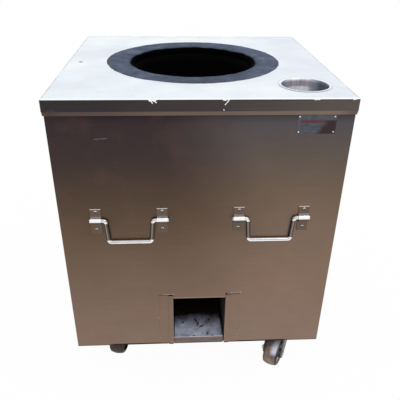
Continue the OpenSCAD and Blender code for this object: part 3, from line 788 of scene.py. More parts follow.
@dataclass(frozen=True)
class MouthPlaster(Finish):
    """Slate grey plaster that turns black with soot and painted shade towards the mouth.

    Attributes:
        centre: Place of the mouth's axis on X and Y, in metres.
        soot_shade_from: Radius where the soot and painted shade begin, in metres.
        soot_shade_full: Radius where the plaster is black with soot and painted shade, in metres.
        outer: Radius of the collar's outer edge, in metres.
    """

    centre: tuple[float, float]
    soot_shade_from: float
    soot_shade_full: float
    outer: float

    def paint(self, s: Shader) -> None:
        """Adds the finish to a material.

        Args:
            s: Material being built.
        """
        radius = s.radius(self.centre)
        mottle = s.noise(26.0, 5.0, 0.62)
        colour = s.ramp(mottle, [(0.28, srgb(54, 64, 82)), (0.5, srgb(72, 84, 104)),
                                 (0.72, srgb(94, 106, 126))])
        fine = s.span(s.noise(260.0, 3.0, 0.6), 0.35, 0.75)
        colour = s.tint(colour, srgb(56, 62, 78), fine, 0.30)
        # Painted light: the collar is lighter at the back, at the sides and to the right.
        back = s.span(s.axis("Y"), self.centre[1] - 0.02, self.centre[1] + 0.20)
        colour = s.vary(colour, s.math("MULTIPLY_ADD", back, 0.5, 0.25), 1.0, 1.16)
        side = s.span(s.math("ABSOLUTE", s.math("SUBTRACT", s.axis("X"), self.centre[0])), 0.0, 0.26)
        colour = s.vary(colour, s.math("MULTIPLY_ADD", side, 0.5, 0.25), 0.86, 1.08)
        right = s.span(s.axis("X"), self.centre[0] + 0.12, self.centre[0] + 0.26)
        colour = s.vary(colour, s.math("MULTIPLY_ADD", right, 0.5, 0.25), 1.0, 1.10)
        rim = s.times(s.span(radius, self.outer - 0.012, self.outer - 0.002),
                      s.span(s.noise(20.0, 3.0, shift=(1, 2, 3)), 0.42, 0.60))
        colour = s.tint(colour, srgb(92, 62, 60), rim, 0.55)
        # Soot and painted shade darken the plaster to black towards the mouth.
        wander = s.math("MULTIPLY_ADD", s.noise(18.0, 3.0, shift=(7, 1, 0)), 0.010, -0.005)
        soft = s.math("ADD", radius, wander)
        colour = s.tint(colour, srgb(30, 34, 44), s.span(soft, self.soot_shade_from + 0.012, self.soot_shade_full), 0.40)
        soot = s.span(soft, self.soot_shade_from, self.soot_shade_full)
        colour = s.mix(soot, colour, srgb(2, 2, 4))
        s.surface(Base_Color=colour, Metallic=0.0, Roughness=0.88,
                  Specular_IOR_Level=s.math("MULTIPLY_ADD", soot, -0.24, 0.25))
        s.bump(fine, 0.0006, 0.55)
        s.bump(mottle, 0.0016, 0.5)


@dataclass(frozen=True)
class BakedClay(Finish):
    """Red brown clay of the pot, black above with soot and painted shade.

    Attributes:
        soot_shade_from: Height above which soot and painted shade begin, in metres; above the oven, there is
            none.
        soot_shade_full: Height above which the clay is black with soot and painted shade, in metres.
    """

    soot_shade_from: float = 2.0
    soot_shade_full: float = 2.2

    def paint(self, s: Shader) -> None:
        """Adds the finish to a material.

        Args:
            s: Material being built.
        """
        mottle = s.noise(22.0, 5.0, 0.6)
        colour = s.ramp(mottle, [(0.3, srgb(74, 46, 34)), (0.5, srgb(104, 66, 48)),
                                 (0.72, srgb(132, 92, 70))])
        coils = s.noise(60.0, 3.0, 0.55, Direction.ALONG_X)
        fine = s.noise(320.0, 3.0, 0.6)
        # Soot and painted shade turn the clay black above.
        wander = s.math("MULTIPLY_ADD", s.noise(9.0, 4.0, shift=(2, 2, 2)), 0.24, -0.12)
        soot = s.span(s.math("ADD", s.axis("Z"), wander), self.soot_shade_from, self.soot_shade_full)
        colour = s.mix(soot, colour, srgb(2, 2, 3))
        s.surface(Base_Color=colour, Roughness=0.95, Specular_IOR_Level=0.05)
        s.bump(fine, 0.0006, 0.5)
        s.bump(coils, 0.002, 0.45)


@dataclass(frozen=True)
class DullMetal(Finish):
    """Rolled, painted or cast metal, or thin film, with blotches and a fine grain.

    Attributes:
        dark: Colour of the darker blotches.
        light: Colour of the lighter blotches.
        metallic: How metallic the clean surface is.
        rough: Roughness.
        grain: Grains per metre.
        depth: Depth of the grain in metres.
        spot: Colour of stains or rust.
        spots: Share of the surface that the stains may cover.
        shade: Places on X where a shade is full and where it ends, in metres.
    """

    dark: Colour
    light: Colour
    metallic: float
    rough: float
    grain: float = 500.0
    depth: float = 0.0002
    spot: Colour = (0.08, 0.035, 0.018)
    spots: float = 0.2
    shade: tuple[float, float] | None = None

    def paint(self, s: Shader) -> None:
        """Adds the finish to a material.

        Args:
            s: Material being built.
        """
        blotch = s.noise(34.0, 4.0, 0.62)
        colour = s.ramp(blotch, [(0.30, self.dark), (0.70, self.light)])
        stain = s.span(s.noise(48.0, 5.0, 0.68, shift=(5, 3, 8)), 0.56, 0.72)
        colour = s.tint(colour, self.spot, stain, self.spots)
        if self.shade:
            full, end = self.shade
            colour = s.tint(colour, srgb(26, 21, 20), s.span(s.axis("X"), end, full), 0.85)
        grain = s.noise(self.grain, 3.0, 0.6)
        s.surface(
            Base_Color=colour,
            Metallic=self.metallic,
            Roughness=s.math("MULTIPLY_ADD", stain, 0.25, self.rough),
        )
        s.bump(grain, self.depth, 0.6)


@dataclass(frozen=True)
class WheelIron(Finish):
    """Worn tread of a cast wheel: brown, with painted shade on its edges and a painted glint at the top.

    Attributes:
        centre: Centre of the wheel.
        axle: Direction of the axle on X and Y.
        half: Half the width of the tread.
        dark: Colour of the darker blotches.
        light: Colour of the lighter blotches.
        glint: Strength of the painted highlight at the top.
    """

    centre: Point
    axle: tuple[float, float]
    half: float
    dark: Colour
    light: Colour
    glint: float = 0.0

    def paint(self, s: Shader) -> None:
        """Adds the finish to a material.

        Args:
            s: Material being built.
        """
        blotch = s.noise(46.0, 4.0, 0.6)
        colour = s.ramp(blotch, [(0.30, self.dark), (0.70, self.light)])
        x = s.math("SUBTRACT", s.axis("X"), self.centre[0])
        y = s.math("SUBTRACT", s.axis("Y"), self.centre[1])
        across = s.math("MULTIPLY_ADD", y, self.axle[1], s.times(x, self.axle[0]))
        # Painted highlight on the top of the tread, to one side.
        glint = s.times(s.span(s.facing("Z"), 0.66, 0.82), s.span(across, 0.006, -0.010))
        colour = s.tint(colour, srgb(214, 214, 232), glint, self.glint)
        # Painted shade on the sides of the tread.
        edge = s.span(s.math("ABSOLUTE", across), self.half - 0.0078, self.half - 0.0030)
        colour = s.tint(colour, srgb(20, 16, 15), edge, 0.88)
        grain = s.noise(420.0, 3.0, 0.6)
        s.surface(Base_Color=colour, Metallic=0.30, Roughness=s.math("MULTIPLY_ADD", blotch, 0.2, 0.42))
        s.bump(grain, 0.00025, 0.6)


@dataclass(frozen=True)
class TraySteel(Finish):
    """Dull grey tray with a lip that has the panel's brown painted reflection.

    Attributes:
        front: Place of the tray's front on Y, in metres.
        foot: Height of the tray's underside, in metres.
        top: Height of the lip's upper edge, in metres.
        dark_from: Place on Y where the tray begins to be black with painted shade and soot, in metres.
    """

    front: float
    foot: float
    top: float
    dark_from: float

    def paint(self, s: Shader) -> None:
        """Adds the finish to a material.

        Args:
            s: Material being built.
        """
        depth, height = s.axis("Y"), s.axis("Z")
        blotch = s.noise(38.0, 5.0, 0.66)
        colour = s.ramp(blotch, [(0.32, srgb(104, 104, 118)), (0.52, srgb(130, 132, 148)),
                                 (0.72, srgb(150, 152, 168))])
        # Painted shade and soot turn the tray black towards the back.
        colour = s.mix(s.span(depth, self.dark_from, self.dark_from + 0.05), colour, srgb(30, 21, 16))
        # Painted reflection: the lip is as brown as the panel, with a painted shadow at its foot.
        lip = s.span(depth, self.front + 0.0016, self.front + 0.0004)
        brown = s.ramp(blotch, [(0.3, srgb(98, 84, 79)), (0.7, srgb(120, 104, 99))])
        low = s.span(height, self.foot + 0.0028, self.foot + 0.0018)
        brown = s.mix(low, brown, srgb(18, 13, 12))
        colour = s.mix(lip, colour, brown)
        # Painted highlight along the lip's upper edge.
        edge = s.times(s.span(height, self.top - 0.0026, self.top - 0.0018),
                       s.span(depth, self.front + 0.010, self.front + 0.004))
        colour = s.tint(colour, srgb(226, 220, 222), edge, 0.7)
        s.surface(Base_Color=colour, Metallic=0.45, Roughness=0.5)
        s.bump(s.noise(420, 2.0, 0.6, Direction.ALONG_X), 0.0001, 0.5)


@dataclass(frozen=True)
class Ash(Finish):
    """Loose ash or cinder.

    Attributes:
        dark: Colour of the dark flecks.
        light: Colour of the pale flecks.
        black_from: Place on Y where soot and shade begin to swallow it, in metres.
    """

    dark: Colour
    light: Colour
    black_from: float

    def paint(self, s: Shader) -> None:
        """Adds the finish to a material.

        Args:
            s: Material being built.
        """
        fleck = s.noise(260.0, 5.0, 0.7)
        patch = s.noise(34.0, 4.0, 0.6)
        share = s.math("ADD", s.times(fleck, 0.4), s.times(patch, 0.6))
        colour = s.ramp(share, [(0.36, self.dark), (0.56, self.light)])
        # Painted shade and soot turn the ash black towards the back.
        wander = s.math("MULTIPLY_ADD", s.noise(24.0, 4.0, 0.6), 0.10, -0.050)
        depth = s.math("ADD", s.axis("Y"), wander)
        colour = s.mix(s.span(depth, self.black_from - 0.010, self.black_from + 0.085), colour,
                       srgb(34, 24, 18))
        s.surface(Base_Color=colour, Roughness=0.95, Specular_IOR_Level=0.1)
        s.bump(fleck, 0.0012, 0.8)


@dataclass(frozen=True)
class MineralWool(Finish):
    """Matted fibres of the insulation that the cabinet hides."""

    def paint(self, s: Shader) -> None:
        """Adds the finish to a material.

        Args:
            s: Material being built.
        """
        fibres = s.noise(180.0, 5.0, 0.7)
        s.surface(Base_Color=s.ramp(fibres, [(0.3, srgb(176, 164, 130)), (0.7, srgb(220, 210, 180))]),
                  Roughness=0.95)
        s.bump(fibres, 0.003, 0.8)


# ---------------------------------------------------------------------------------------------
# Mesh building
# ---------------------------------------------------------------------------------------------


def finish_mesh(name: str, mesh_data: MeshData, finish: Material, body: str,
                smooth: bool = True, sharp: float = 0.0, weighted: bool = False) -> Piece:
    """Turns mesh data into a piece that rides on a body.

    Args:
        name: Name of the piece.
        mesh_data: The mesh, which is freed.
        finish: Material of the piece.
        body: Body that carries the piece.
        smooth: Whether the faces are shaded smooth.
        sharp: Angle in degrees from which edges stay sharp, or 0 for none.
        weighted: Whether large flat faces keep their own shading.

    Returns:
        The piece.
    """
    mesh = bpy.data.meshes.new(name)
    bmesh.ops.recalc_face_normals(mesh_data, faces=mesh_data.faces)
    mesh_data.to_mesh(mesh)
    mesh_data.free()
    for face in mesh.polygons:
        face.use_smooth = smooth
    if sharp:
        mesh.set_sharp_from_angle(angle=math.radians(sharp))
    piece = bpy.data.objects.new(name, mesh)
    bpy.context.scene.collection.objects.link(piece)
    if weighted:
        piece.modifiers.new("flat_shading", "WEIGHTED_NORMAL").keep_sharp = True
    mesh.materials.append(finish)
    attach(piece, body)
    log.info("made %s on %s", name, body)
    return piece


def lathe(profile: Profile, centre: tuple[float, float], segments: int,
          shift: Shift | None = None) -> MeshData:
    """Turns a closed outline round an upright axis.

    Args:
        profile: Points (radius, height) of the closed outline, none of them on the axis.
        centre: Place of the axis on X and Y.
        segments: Number of steps round the axis.
        shift: Gives the change of radius and height from the angle, the point's number and its place.

    Returns:
        The mesh.
    """
    mesh = bmesh.new()
    rings = []
    for step in range(segments):
        angle = 2 * math.pi * step / segments
        ring = []
        for number, (radius, height) in enumerate(profile):
            if shift:
                more_radius, more_height = shift(angle, number, radius, height)
                radius, height = radius + more_radius, height + more_height
            place = (centre[0] + radius * math.cos(angle), centre[1] + radius * math.sin(angle), height)
            ring.append(mesh.verts.new(place))
        rings.append(ring)
    count = len(profile)
    for step, ring in enumerate(rings):
        other = rings[(step + 1) % segments]
        for i in range(count):
            j = (i + 1) % count
            mesh.faces.new((ring[i], other[i], other[j], ring[j]))
    return mesh


def arc(centre: tuple[float, float], radius: float, start: float, end: float, steps: int) -> Profile:
    """Gives points along an arc.

    Args:
        centre: Centre of the arc.
        radius: Radius of the arc.
        start: First angle in degrees.
        end: Last angle in degrees.
        steps: Number of steps.

    Returns:
        The points, both ends included.
    """
    angles = [math.radians(start + (end - start) * i / steps) for i in range(steps + 1)]
    return [(centre[0] + radius * math.cos(a), centre[1] + radius * math.sin(a)) for a in angles]


def ring(mesh: MeshData, half_x: float, half_y: float, corner: float, height: float) -> Loop:
    """Adds the points of a level rectangle with round corners, centred on the Z axis.

    Args:
        mesh: Mesh that the points go into.
        half_x: Half the width.
        half_y: Half the depth.
        corner: Radius of the corners.
        height: Height of the ring.

    Returns:
        The points in order.
    """
    points = []
    for turn, (side_x, side_y) in enumerate(((1, 1), (-1, 1), (-1, -1), (1, -1))):
        middle = (side_x * (half_x - corner), side_y * (half_y - corner))
        quarter = arc(middle, corner, 90 * turn, 90 * turn + 90, 5)
        points += [mesh.verts.new((*place, height)) for place in quarter]
    return points


def circle(mesh: MeshData, centre: tuple[float, float], radius: float, height: float,
           steps: int) -> Loop:
    """Adds the points of a level circle."""
    return [mesh.verts.new((*place, height)) for place in arc(centre, radius, 0, 360, steps)[:-1]]


def bridge(mesh: MeshData, loops: Sequence[Loop]) -> None:
    """Joins each closed loop of points to the next one by four-sided faces.

    Args:
        mesh: Mesh that the faces go into.
        loops: Loops with equally many points.
    """
    for first, second in zip(loops, loops[1:]):
        for i in range(len(first)):
            mesh.faces.new((first[i - 1], first[i], second[i], second[i - 1]))


def fill(mesh: MeshData, outline: Loop, holes: Sequence[Loop] = ()) -> None:
    """Fills a flat outline, less its holes, with triangles.

    Args:
        mesh: Mesh that the faces go into.
        outline: Points of the outline in order.
        holes: Points of each hole in order.
    """
    edges = []
    for loop in (outline, *holes):
        for i in range(len(loop)):
            pair = (loop[i - 1], loop[i])
            edges.append(mesh.edges.get(pair) or mesh.edges.new(pair))
    bmesh.ops.triangle_fill(mesh, use_beauty=True, edges=edges)


def place_part(whole: MeshData, part: MeshData, place: Point, out: Point) -> None:
    """Adds a part to a mesh, with the part's Z axis turned to a direction.

    Args:
        whole: Mesh that grows.
        part: Mesh to add, which is freed.
        place: Where the part's origin goes.
        out: Direction that the part's Z axis takes.
    """
    turn = Vector(out).to_track_quat("Z", "Y").to_matrix().to_4x4()
    bmesh.ops.transform(part, matrix=Matrix.Translation(place) @ turn, verts=part.verts)
    join(whole, part)


def join(whole: MeshData, part: MeshData) -> None:
    """Adds a part to a mesh where it stands.

    Args:
        whole: Mesh that grows.
        part: Mesh to add, which is freed.
    """
    carrier = bpy.data.meshes.new("carrier")
    part.to_mesh(carrier)
    part.free()
    whole.from_mesh(carrier)
    bpy.data.meshes.remove(carrier)


def bead(whole: MeshData, start: Point, end: Point, radius: float, seed: float) -> None:
    """Adds a rippled weld bead between two points.

    Args:
        whole: Mesh that grows.
        start: First end of the bead.
        end: Last end of the bead.
        radius: Mean radius of the bead.
        seed: Number that sets its lumps.
    """
    first, last = Vector(start), Vector(end)
    along = (last - first).normalized()
    side = along.orthogonal().normalized()
    other = along.cross(side)
    steps = max(6, round((last - first).length / (0.28 * radius)))
    loops = []
    for step in range(steps + 1):
        share = step / steps
        middle = first.lerp(last, share)
        taper = min(1.0, 6 * share + 0.15, 6 * (1 - share) + 0.15)
        ripple = 0.80 + 0.22 * abs(math.sin(step * 0.28 * math.pi / 1.6))
        ripple += 0.30 * noise.noise((seed, 60 * share, 1.0))
        size = radius * taper * ripple
        loops.append([whole.verts.new(middle + size * (math.cos(a) * side + math.sin(a) * other))
                      for a in (2 * math.pi * i / 10 for i in range(10))])
    bridge(whole, loops)
    whole.faces.new(loops[0])
    whole.faces.new(loops[-1])


def solids(node: str) -> list[tuple[Vector, Vector]]:
    """Finds the separate solids of a CAD piece.

    Args:
        node: Name of the CAD piece.

    Returns:
        The lowest and highest corner of each solid, sorted by the lowest.
    """
    mesh = bmesh.new()
    mesh.from_mesh(frame["nodes"][node].data)
    bmesh.ops.remove_doubles(mesh, verts=mesh.verts, dist=MERGE)
    left = set(mesh.verts)
    boxes = []
    while left:
        queue, group = [left.pop()], []
        while queue:
            vert = queue.pop()
            group.append(vert.co.copy())
            near = {edge.other_vert(vert) for edge in vert.link_edges} & left
            left -= near
            queue += near
        boxes.append((Vector(map(min, *group)), Vector(map(max, *group))))
    mesh.free()
    return sorted(boxes, key=lambda box: tuple(round(c, 4) for c in box[0]))


def joint(name: str) -> dict[str, object]:
    """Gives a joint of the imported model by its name."""
    return next(j for j in frame["joints"] if j["name"] == name)


def soften(node: str, width: float) -> None:
    """Rounds the sharp edges of a CAD piece with modifiers.

    Args:
        node: Name of the CAD piece.
        width: Width of the rounded edge in metres.
    """
    piece = frame["nodes"][node]
    weld = piece.modifiers.new("join_seams", "WELD")
    weld.merge_threshold = MERGE
    flats = piece.modifiers.new("join_flats", "DECIMATE")
    flats.decimate_type = "DISSOLVE"
    flats.angle_limit = math.radians(0.4)
    bevel = piece.modifiers.new("soft_edges", "BEVEL")
    bevel.width = width
    bevel.segments = 2
    bevel.limit_method = "ANGLE"
    bevel.angle_limit = math.radians(32)
    bevel.harden_normals = True
    bevel.use_clamp_overlap = True


def dress(nodes: Iterable[str], finish: Material) -> None:
    """Gives CAD pieces a new material.

    Args:
        nodes: Names of the CAD pieces.
        finish: Material that takes the place of theirs.
    """
    for name in nodes:
        mesh = frame["nodes"][name].data
        mesh.materials.clear()
        mesh.materials.append(finish)
        log.info("dressed %s with %s", name, finish.name)


# ---------------------------------------------------------------------------------------------
# Sub-assemblies
# ---------------------------------------------------------------------------------------------


@dataclass
class Cabinet:
    """Cover, panels and the angle frame inside them.

    Attributes:
        edge: Width of the soft edge on the panels, in metres.
        sheet: Thickness of the cover's sheet.
        bend: Outer radius of the bend between the cover's top and its skirt.
        corner: Radius of the skirt's upright corners.
        hem_height: Height of the strip at the foot of the skirt.
        hem_in: How far that strip leans in.
        scraps: Bits of torn film on the cover's front edge: place on X, width and how far each hangs down.
        shreds: Thin shreds of film on the skirt: both ends on X and Z, and the width.
    """

    edge: float = 0.0007
    sheet: float = 0.0015
    bend: float = 0.0020
    corner: float = 0.0030
    hem_height: float = 0.011
    hem_in: float = 0.0022
    scraps: tuple[Point, ...] = (
        (-0.1245, 0.023, 0.0080), (0.0590, 0.020, 0.0036), (0.2905, 0.025, 0.0032), (0.3895, 0.013, 0.0034),
    )
    shreds: tuple[tuple[float, float, float, float, float], ...] = (
        (0.0680, 0.9825, 0.0570, 0.9690, 0.0024), (0.0545, 0.9580, 0.0556, 0.9545, 0.0022),
        (-0.1290, 0.9800, -0.1250, 0.9735, 0.0030), (-0.1200, 0.9800, -0.1150, 0.9752, 0.0026),
    )

    def skin(self) -> Piece:
        """Models the folded cover with round bends and its three holes.

        Returns:
            The piece.
        """
        low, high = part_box("top_cover")
        top, foot, wide, deep = high.z, low.z, high.x, high.y
        hem = foot + self.hem_height
        mesh = bmesh.new()
        quarter = [math.radians(15 * i) for i in range(7)]
        section = [(self.bend * (1 - math.sin(a)), top - self.bend * (1 - math.cos(a))) for a in quarter]
        section += [(0.0, hem + 0.0004), (0.0005, hem - 0.0006), (self.hem_in, foot + 0.0006)]
        section += [(self.hem_in + 0.0005, foot), (self.hem_in + self.sheet, foot + 0.0003)]
        section += [(self.sheet + 0.0005, hem), (self.sheet, top - self.sheet)]
        loops = [ring(mesh, wide - inset, deep - inset, max(0.0004, self.corner - inset), z)
                 for inset, z in section]
        bridge(mesh, loops)
        cup, mouth = Cup(), Mouth()
        holes = [
            (mouth.centre, mouth.hole, 120), (cup.centre, cup.radius + cup.wall + 0.0003, 48),
            (VENT, VENT_RADIUS, 20),
        ]
        upper = [circle(mesh, centre, radius, top, steps) for centre, radius, steps in holes]
        lower = [circle(mesh, centre, radius, top - self.sheet, steps) for centre, radius, steps in holes]
        for pair in zip(upper, lower):
            bridge(mesh, pair)
        fill(mesh, loops[0], upper)
        fill(mesh, loops[-1], lower)
        finish = CoverSteel("cover_steel_look", top, hem, wide)
        piece = finish_mesh("cover_skin", mesh, finish.make(), OVEN, sharp=38, weighted=True)
        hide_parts("top_cover")
        return piece

    def film(self) -> Piece:
        """Models the scraps of torn white film on the cover's front edge.

        Returns:
            The piece.
        """
        low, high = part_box("top_cover")
        chance = random.Random(5)
        mesh = bmesh.new()
        front, top = low.y - 0.0003, high.z + 0.0002
        count = 13
        for x, width, hang in self.scraps:
            upper, lower = [], []
            for i in range(count):
                along = x + width * (i / (count - 1) - 0.5)
                swell = math.sin(math.pi * i / (count - 1)) ** 0.6
                upper.append((along, front + 0.0022 + 0.010 * swell * chance.uniform(0.2, 1.0), top))
                lower.append((along, front, top - 0.0008 - hang * swell * chance.uniform(0.35, 1.0)))
            middle = [(along, front + 0.0002, top - 0.0002) for along, _, _ in upper]
            rows = [[mesh.verts.new(place) for place in row] for row in (upper, middle, lower)]
            for first, second in zip(rows, rows[1:]):
                for i in range(count - 1):
                    mesh.faces.new((first[i], first[i + 1], second[i + 1], second[i]))
        for x0, z0, x1, z1, width in self.shreds:
            along = Vector((x1 - x0, 0, z1 - z0)).normalized()
            side = 0.5 * width * Vector((-along.z, 0, along.x))
            pairs = []
            for i in range(6):
                middle = Vector((x0, front, z0)).lerp(Vector((x1, front, z1)), i / 5)
                half = side * chance.uniform(0.6, 1.2)
                pairs.append((mesh.verts.new(middle + half), mesh.verts.new(middle - half)))
            for first, second in zip(pairs, pairs[1:]):
                mesh.faces.new((*first, *second[::-1]))
        mesh.normal_update()
        bmesh.ops.solidify(mesh, geom=mesh.faces[:], thickness=0.0001)
        finish = DullMetal("film_look", srgb(232, 234, 238), srgb(250, 250, 252), 0.0, 0.45, 900, 0.00005,
                           srgb(206, 204, 208), 0.2)
        return finish_mesh("film_scraps", mesh, finish.make(), OVEN, smooth=False)

    def build(self) -> None:
        """Models the cover and dresses the panels and the frame."""
        self.skin()
        self.film()
        panel = PanelSteel("panel_steel_look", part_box("top_cover")[0].z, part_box("front_panel")[0].z).make()
        sheets = ["front_panel", "back_panel", "left_side_panel", "right_side_panel",
                  "shutter_guide_left", "shutter_guide_right"]
        dress(sheets, panel)
        for node in sheets:
            soften(node, self.edge)
        painted = DullMetal("frame_paint", srgb(30, 29, 30), srgb(52, 50, 50), 0.2, 0.6, spots=0.35)
        dress(["bottom_plate", "corner_plates", "base_rail_front", "base_rail_back", "base_rail_left",
               "base_rail_right", "corner_posts", "deck_rails", "top_rails"], painted.make())
        dress(["insulation"], MineralWool("mineral_wool").make())


@dataclass
class Mouth:
    """Plaster collar and clay pot.

    Attributes:
        centre: Place of the mouth's axis on X and Y.
        inner: Radius of the open mouth.
        flat: Radius where the flat top of the collar begins.
        outer: Mean radius of the collar's ragged outer edge.
        wander: How far the outer edge wanders in or out.
        neck: Height of the pot's straight neck.
        hole: Radius of the hole in the cover under the collar.
        fullness: Exponent of the collar's round inner edge: 1 for an ellipse, less for a fuller one.
        soot: How far outside the open mouth the collar is still black with soot and painted shade, and where
            that ends.
        belly: Greatest inside radius of the pot.
        foot: Inside radius of the pot at its foot.
        rise: Share of the pot's height where the belly is widest.
        wall: Thickness of the pot.
        pot_soot_shade: Heights above the pot's foot where its soot and painted shade begin and where it is
            black.
        drain: Radius of the hearth's hole.
        segments: Steps round the axis.
    """

    centre: tuple[float, float] = (-0.008, 0.015)
    inner: float = 0.191
    flat: float = 0.231
    outer: float = 0.2765
    wander: float = 0.0033
    neck: float = 0.025
    hole: float = 0.272
    fullness: float = 0.8
    soot: tuple[float, float] = (0.0085, 0.0155)
    belly: float = 0.265
    foot: float = 0.240
    rise: float = 0.3
    wall: float = 0.042
    pot_soot_shade: tuple[float, float] = (0.10, 0.30)
    drain: float = 0.0803
    segments: int = 288

    def collar(self) -> Piece:
        """Models the hand-laid plaster ring.

        Returns:
            The piece.
        """
        low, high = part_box("mouth_collar")
        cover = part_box("top_cover")[1].z
        roll_low = cover - 0.015
        roll = [(self.flat - (self.flat - self.inner) * max(0.0, math.cos(math.radians(a))) ** self.fullness,
                 roll_low + (high.z - 0.0008 - roll_low) * math.sin(math.radians(a)) ** self.fullness)
                for a in range(0, 91, 9)]
        flat = [(self.flat + (self.outer - 0.008 - self.flat) * i / 7, high.z - 0.0008) for i in range(1, 8)]
        edge = [(self.outer - 0.004, high.z - 0.0012), (self.outer - 0.0012, high.z - 0.0019),
                (self.outer, cover + 0.0006), (self.outer + 0.0003, cover + 0.0001)]
        under = [(self.outer - 0.006, cover + 0.00005), (self.outer - 0.006, low.z), (self.inner, low.z)]
        profile = [(self.inner, low.z + 0.003)] + roll + flat + edge + under
        last_edge = len(roll) + len(flat) + len(edge)

        def shift(angle: float, number: int, radius: float, height: float) -> tuple[float, float]:
            """Makes the outer edge ragged and the top lumpy.

            Args:
                angle: Angle round the axis, in radians.
                number: Number of the point in the profile.
                radius: Radius of the point.
                height: Height of the point.

            Returns:
                Shift of the radius and of the height.
            """
            if number == 0 or number > last_edge:
                return 0.0, 0.0
            x, y = math.cos(angle), math.sin(angle)
            share = max(0.0, (radius - self.flat) / (self.outer - self.flat))
            slow = noise.noise(Vector((3.0 * x, 3.0 * y, 0.3)))
            quick = noise.noise(Vector((14.0 * x, 14.0 * y, 1.7)))
            out = share ** 3 * (self.wander * slow + 0.5 * self.wander * quick)
            lump = noise.noise(Vector((46 * radius * x, 46 * radius * y, 5.0)))
            fine = noise.noise(Vector((150 * radius * x, 150 * radius * y, 2.0)))
            drop = -0.0011 * (0.6 + lump) - 0.0004 * (1 + fine)
            if number > len(roll) + len(flat):
                drop *= 0.25
            return out, min(0.0, drop)

        mesh = lathe(profile, self.centre, self.segments, shift)
        full, end = self.soot
        finish = MouthPlaster("mouth_plaster_look", self.centre, self.inner + end, self.inner + full,
                              self.outer)
        piece = finish_mesh("plaster_collar", mesh, finish.make(), OVEN)
        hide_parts("mouth_collar")
        return piece

    def pot(self) -> Piece:
        """Models the clay pot with its rough inside, within the CAD pot.

        Returns:
            The piece.
        """
        low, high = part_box("clay_pot")
        height = high.z - low.z - self.neck

        def inside(share: float) -> float:
            """Gives the inside radius at a share of the height.

            Args:
                share: Share of the height.

            Returns:
                The radius.
            """
            if share < self.rise:
                return self.foot + (self.belly - self.foot) * math.sin(math.pi / 2 * share / self.rise)
            turn = math.pi * (share - self.rise) / (1 - self.rise)
            return self.inner + (self.belly - self.inner) * (1 + math.cos(turn)) / 2

        steps = 46
        inner = [(inside(i / steps), low.z + height * i / steps) for i in range(steps + 1)]
        inner.append((self.inner, high.z))
        outer = [(radius + self.wall, z) for radius, z in reversed(inner[::2])]

        def shift(angle: float, number: int, radius: float, z: float) -> tuple[float, float]:
            """Leaves the marks of the coils and of the hand on the inside.

            Args:
                angle: Angle round the axis, in radians.
                number: Number of the point in the profile.
                radius: Radius of the point.
                z: Height of the point.

            Returns:
                Shift of the radius and of the height.
            """
            if number == 0 or number >= steps:
                return 0.0, 0.0
            x, y = math.cos(angle), math.sin(angle)
            sway = 1.5 * noise.noise(Vector((2 * x, 2 * y, 4 * z)))
            ridge = 0.5 + 0.5 * math.sin(2 * math.pi * z / 0.037 + sway)
            lump = noise.noise(Vector((4 * x, 4 * y, 18 * z)))
            return 0.0018 * ridge + 0.0025 * (lump + 0.5), 0.0

        mesh = lathe(inner + outer, self.centre, 192, shift)
        begin, black = self.pot_soot_shade
        finish = BakedClay("pot_clay", low.z + begin, low.z + black)
        piece = finish_mesh("clay_pot_body", mesh, finish.make(), OVEN)
        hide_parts("clay_pot")
        return piece

    def hearth(self) -> Piece:
        """Models the clay ring that slopes down to the grate.

        Returns:
            The piece.
        """
        low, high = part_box("hearth_ring")
        radius = (high.x - low.x) / 2
        hole, slope, drop = self.drain, 0.03, 0.016
        profile = [(hole, low.z), (radius, low.z), (radius, high.z - 0.001)]
        profile += [(radius - (radius - hole - slope) * i / 10, high.z - 0.0015) for i in range(1, 11)]
        profile += [(hole + slope * (1 - i / 6), high.z - 0.0015 - drop * i / 6) for i in range(1, 7)]

        def shift(angle: float, number: int, r: float, z: float) -> tuple[float, float]:
            """Makes the top uneven.

            Args:
                angle: Angle round the axis, in radians.
                number: Number of the point in the profile.
                r: Radius of the point.
                z: Height of the point.

            Returns:
                Shift of the radius and of the height.
            """
            if number < 3:
                return 0.0, 0.0
            x, y = r * math.cos(angle), r * math.sin(angle)
            return 0.0, -0.0014 * (1 + noise.noise(Vector((30 * x, 30 * y, 0.5))))

        mesh = lathe(profile, self.centre, 144, shift)
        finish = BakedClay("hearth_clay")
        piece = finish_mesh("hearth_ring_body", mesh, finish.make(), OVEN)
        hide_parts("hearth_ring")
        return piece

    def build(self) -> None:
        """Models the collar, the pot and the hearth, and dresses the grate."""
        self.collar()
        self.pot()
        self.hearth()
        iron = DullMetal("grate_iron_look", srgb(30, 28, 28), srgb(54, 48, 46), 0.7, 0.62, 700, 0.0005,
                         srgb(92, 52, 34), 0.5)
        dress(["fire_grate"], iron.make())
        soften("fire_grate", 0.0012)
        # Painted shade: the deck plate and the duct are a dark, sooty sheet.
        dress(["deck_plate", "ash_duct"],
              DullMetal("soot_and_shade_sheet", srgb(30, 23, 19), srgb(50, 39, 32), 0.1, 0.85, spots=0.3).make())


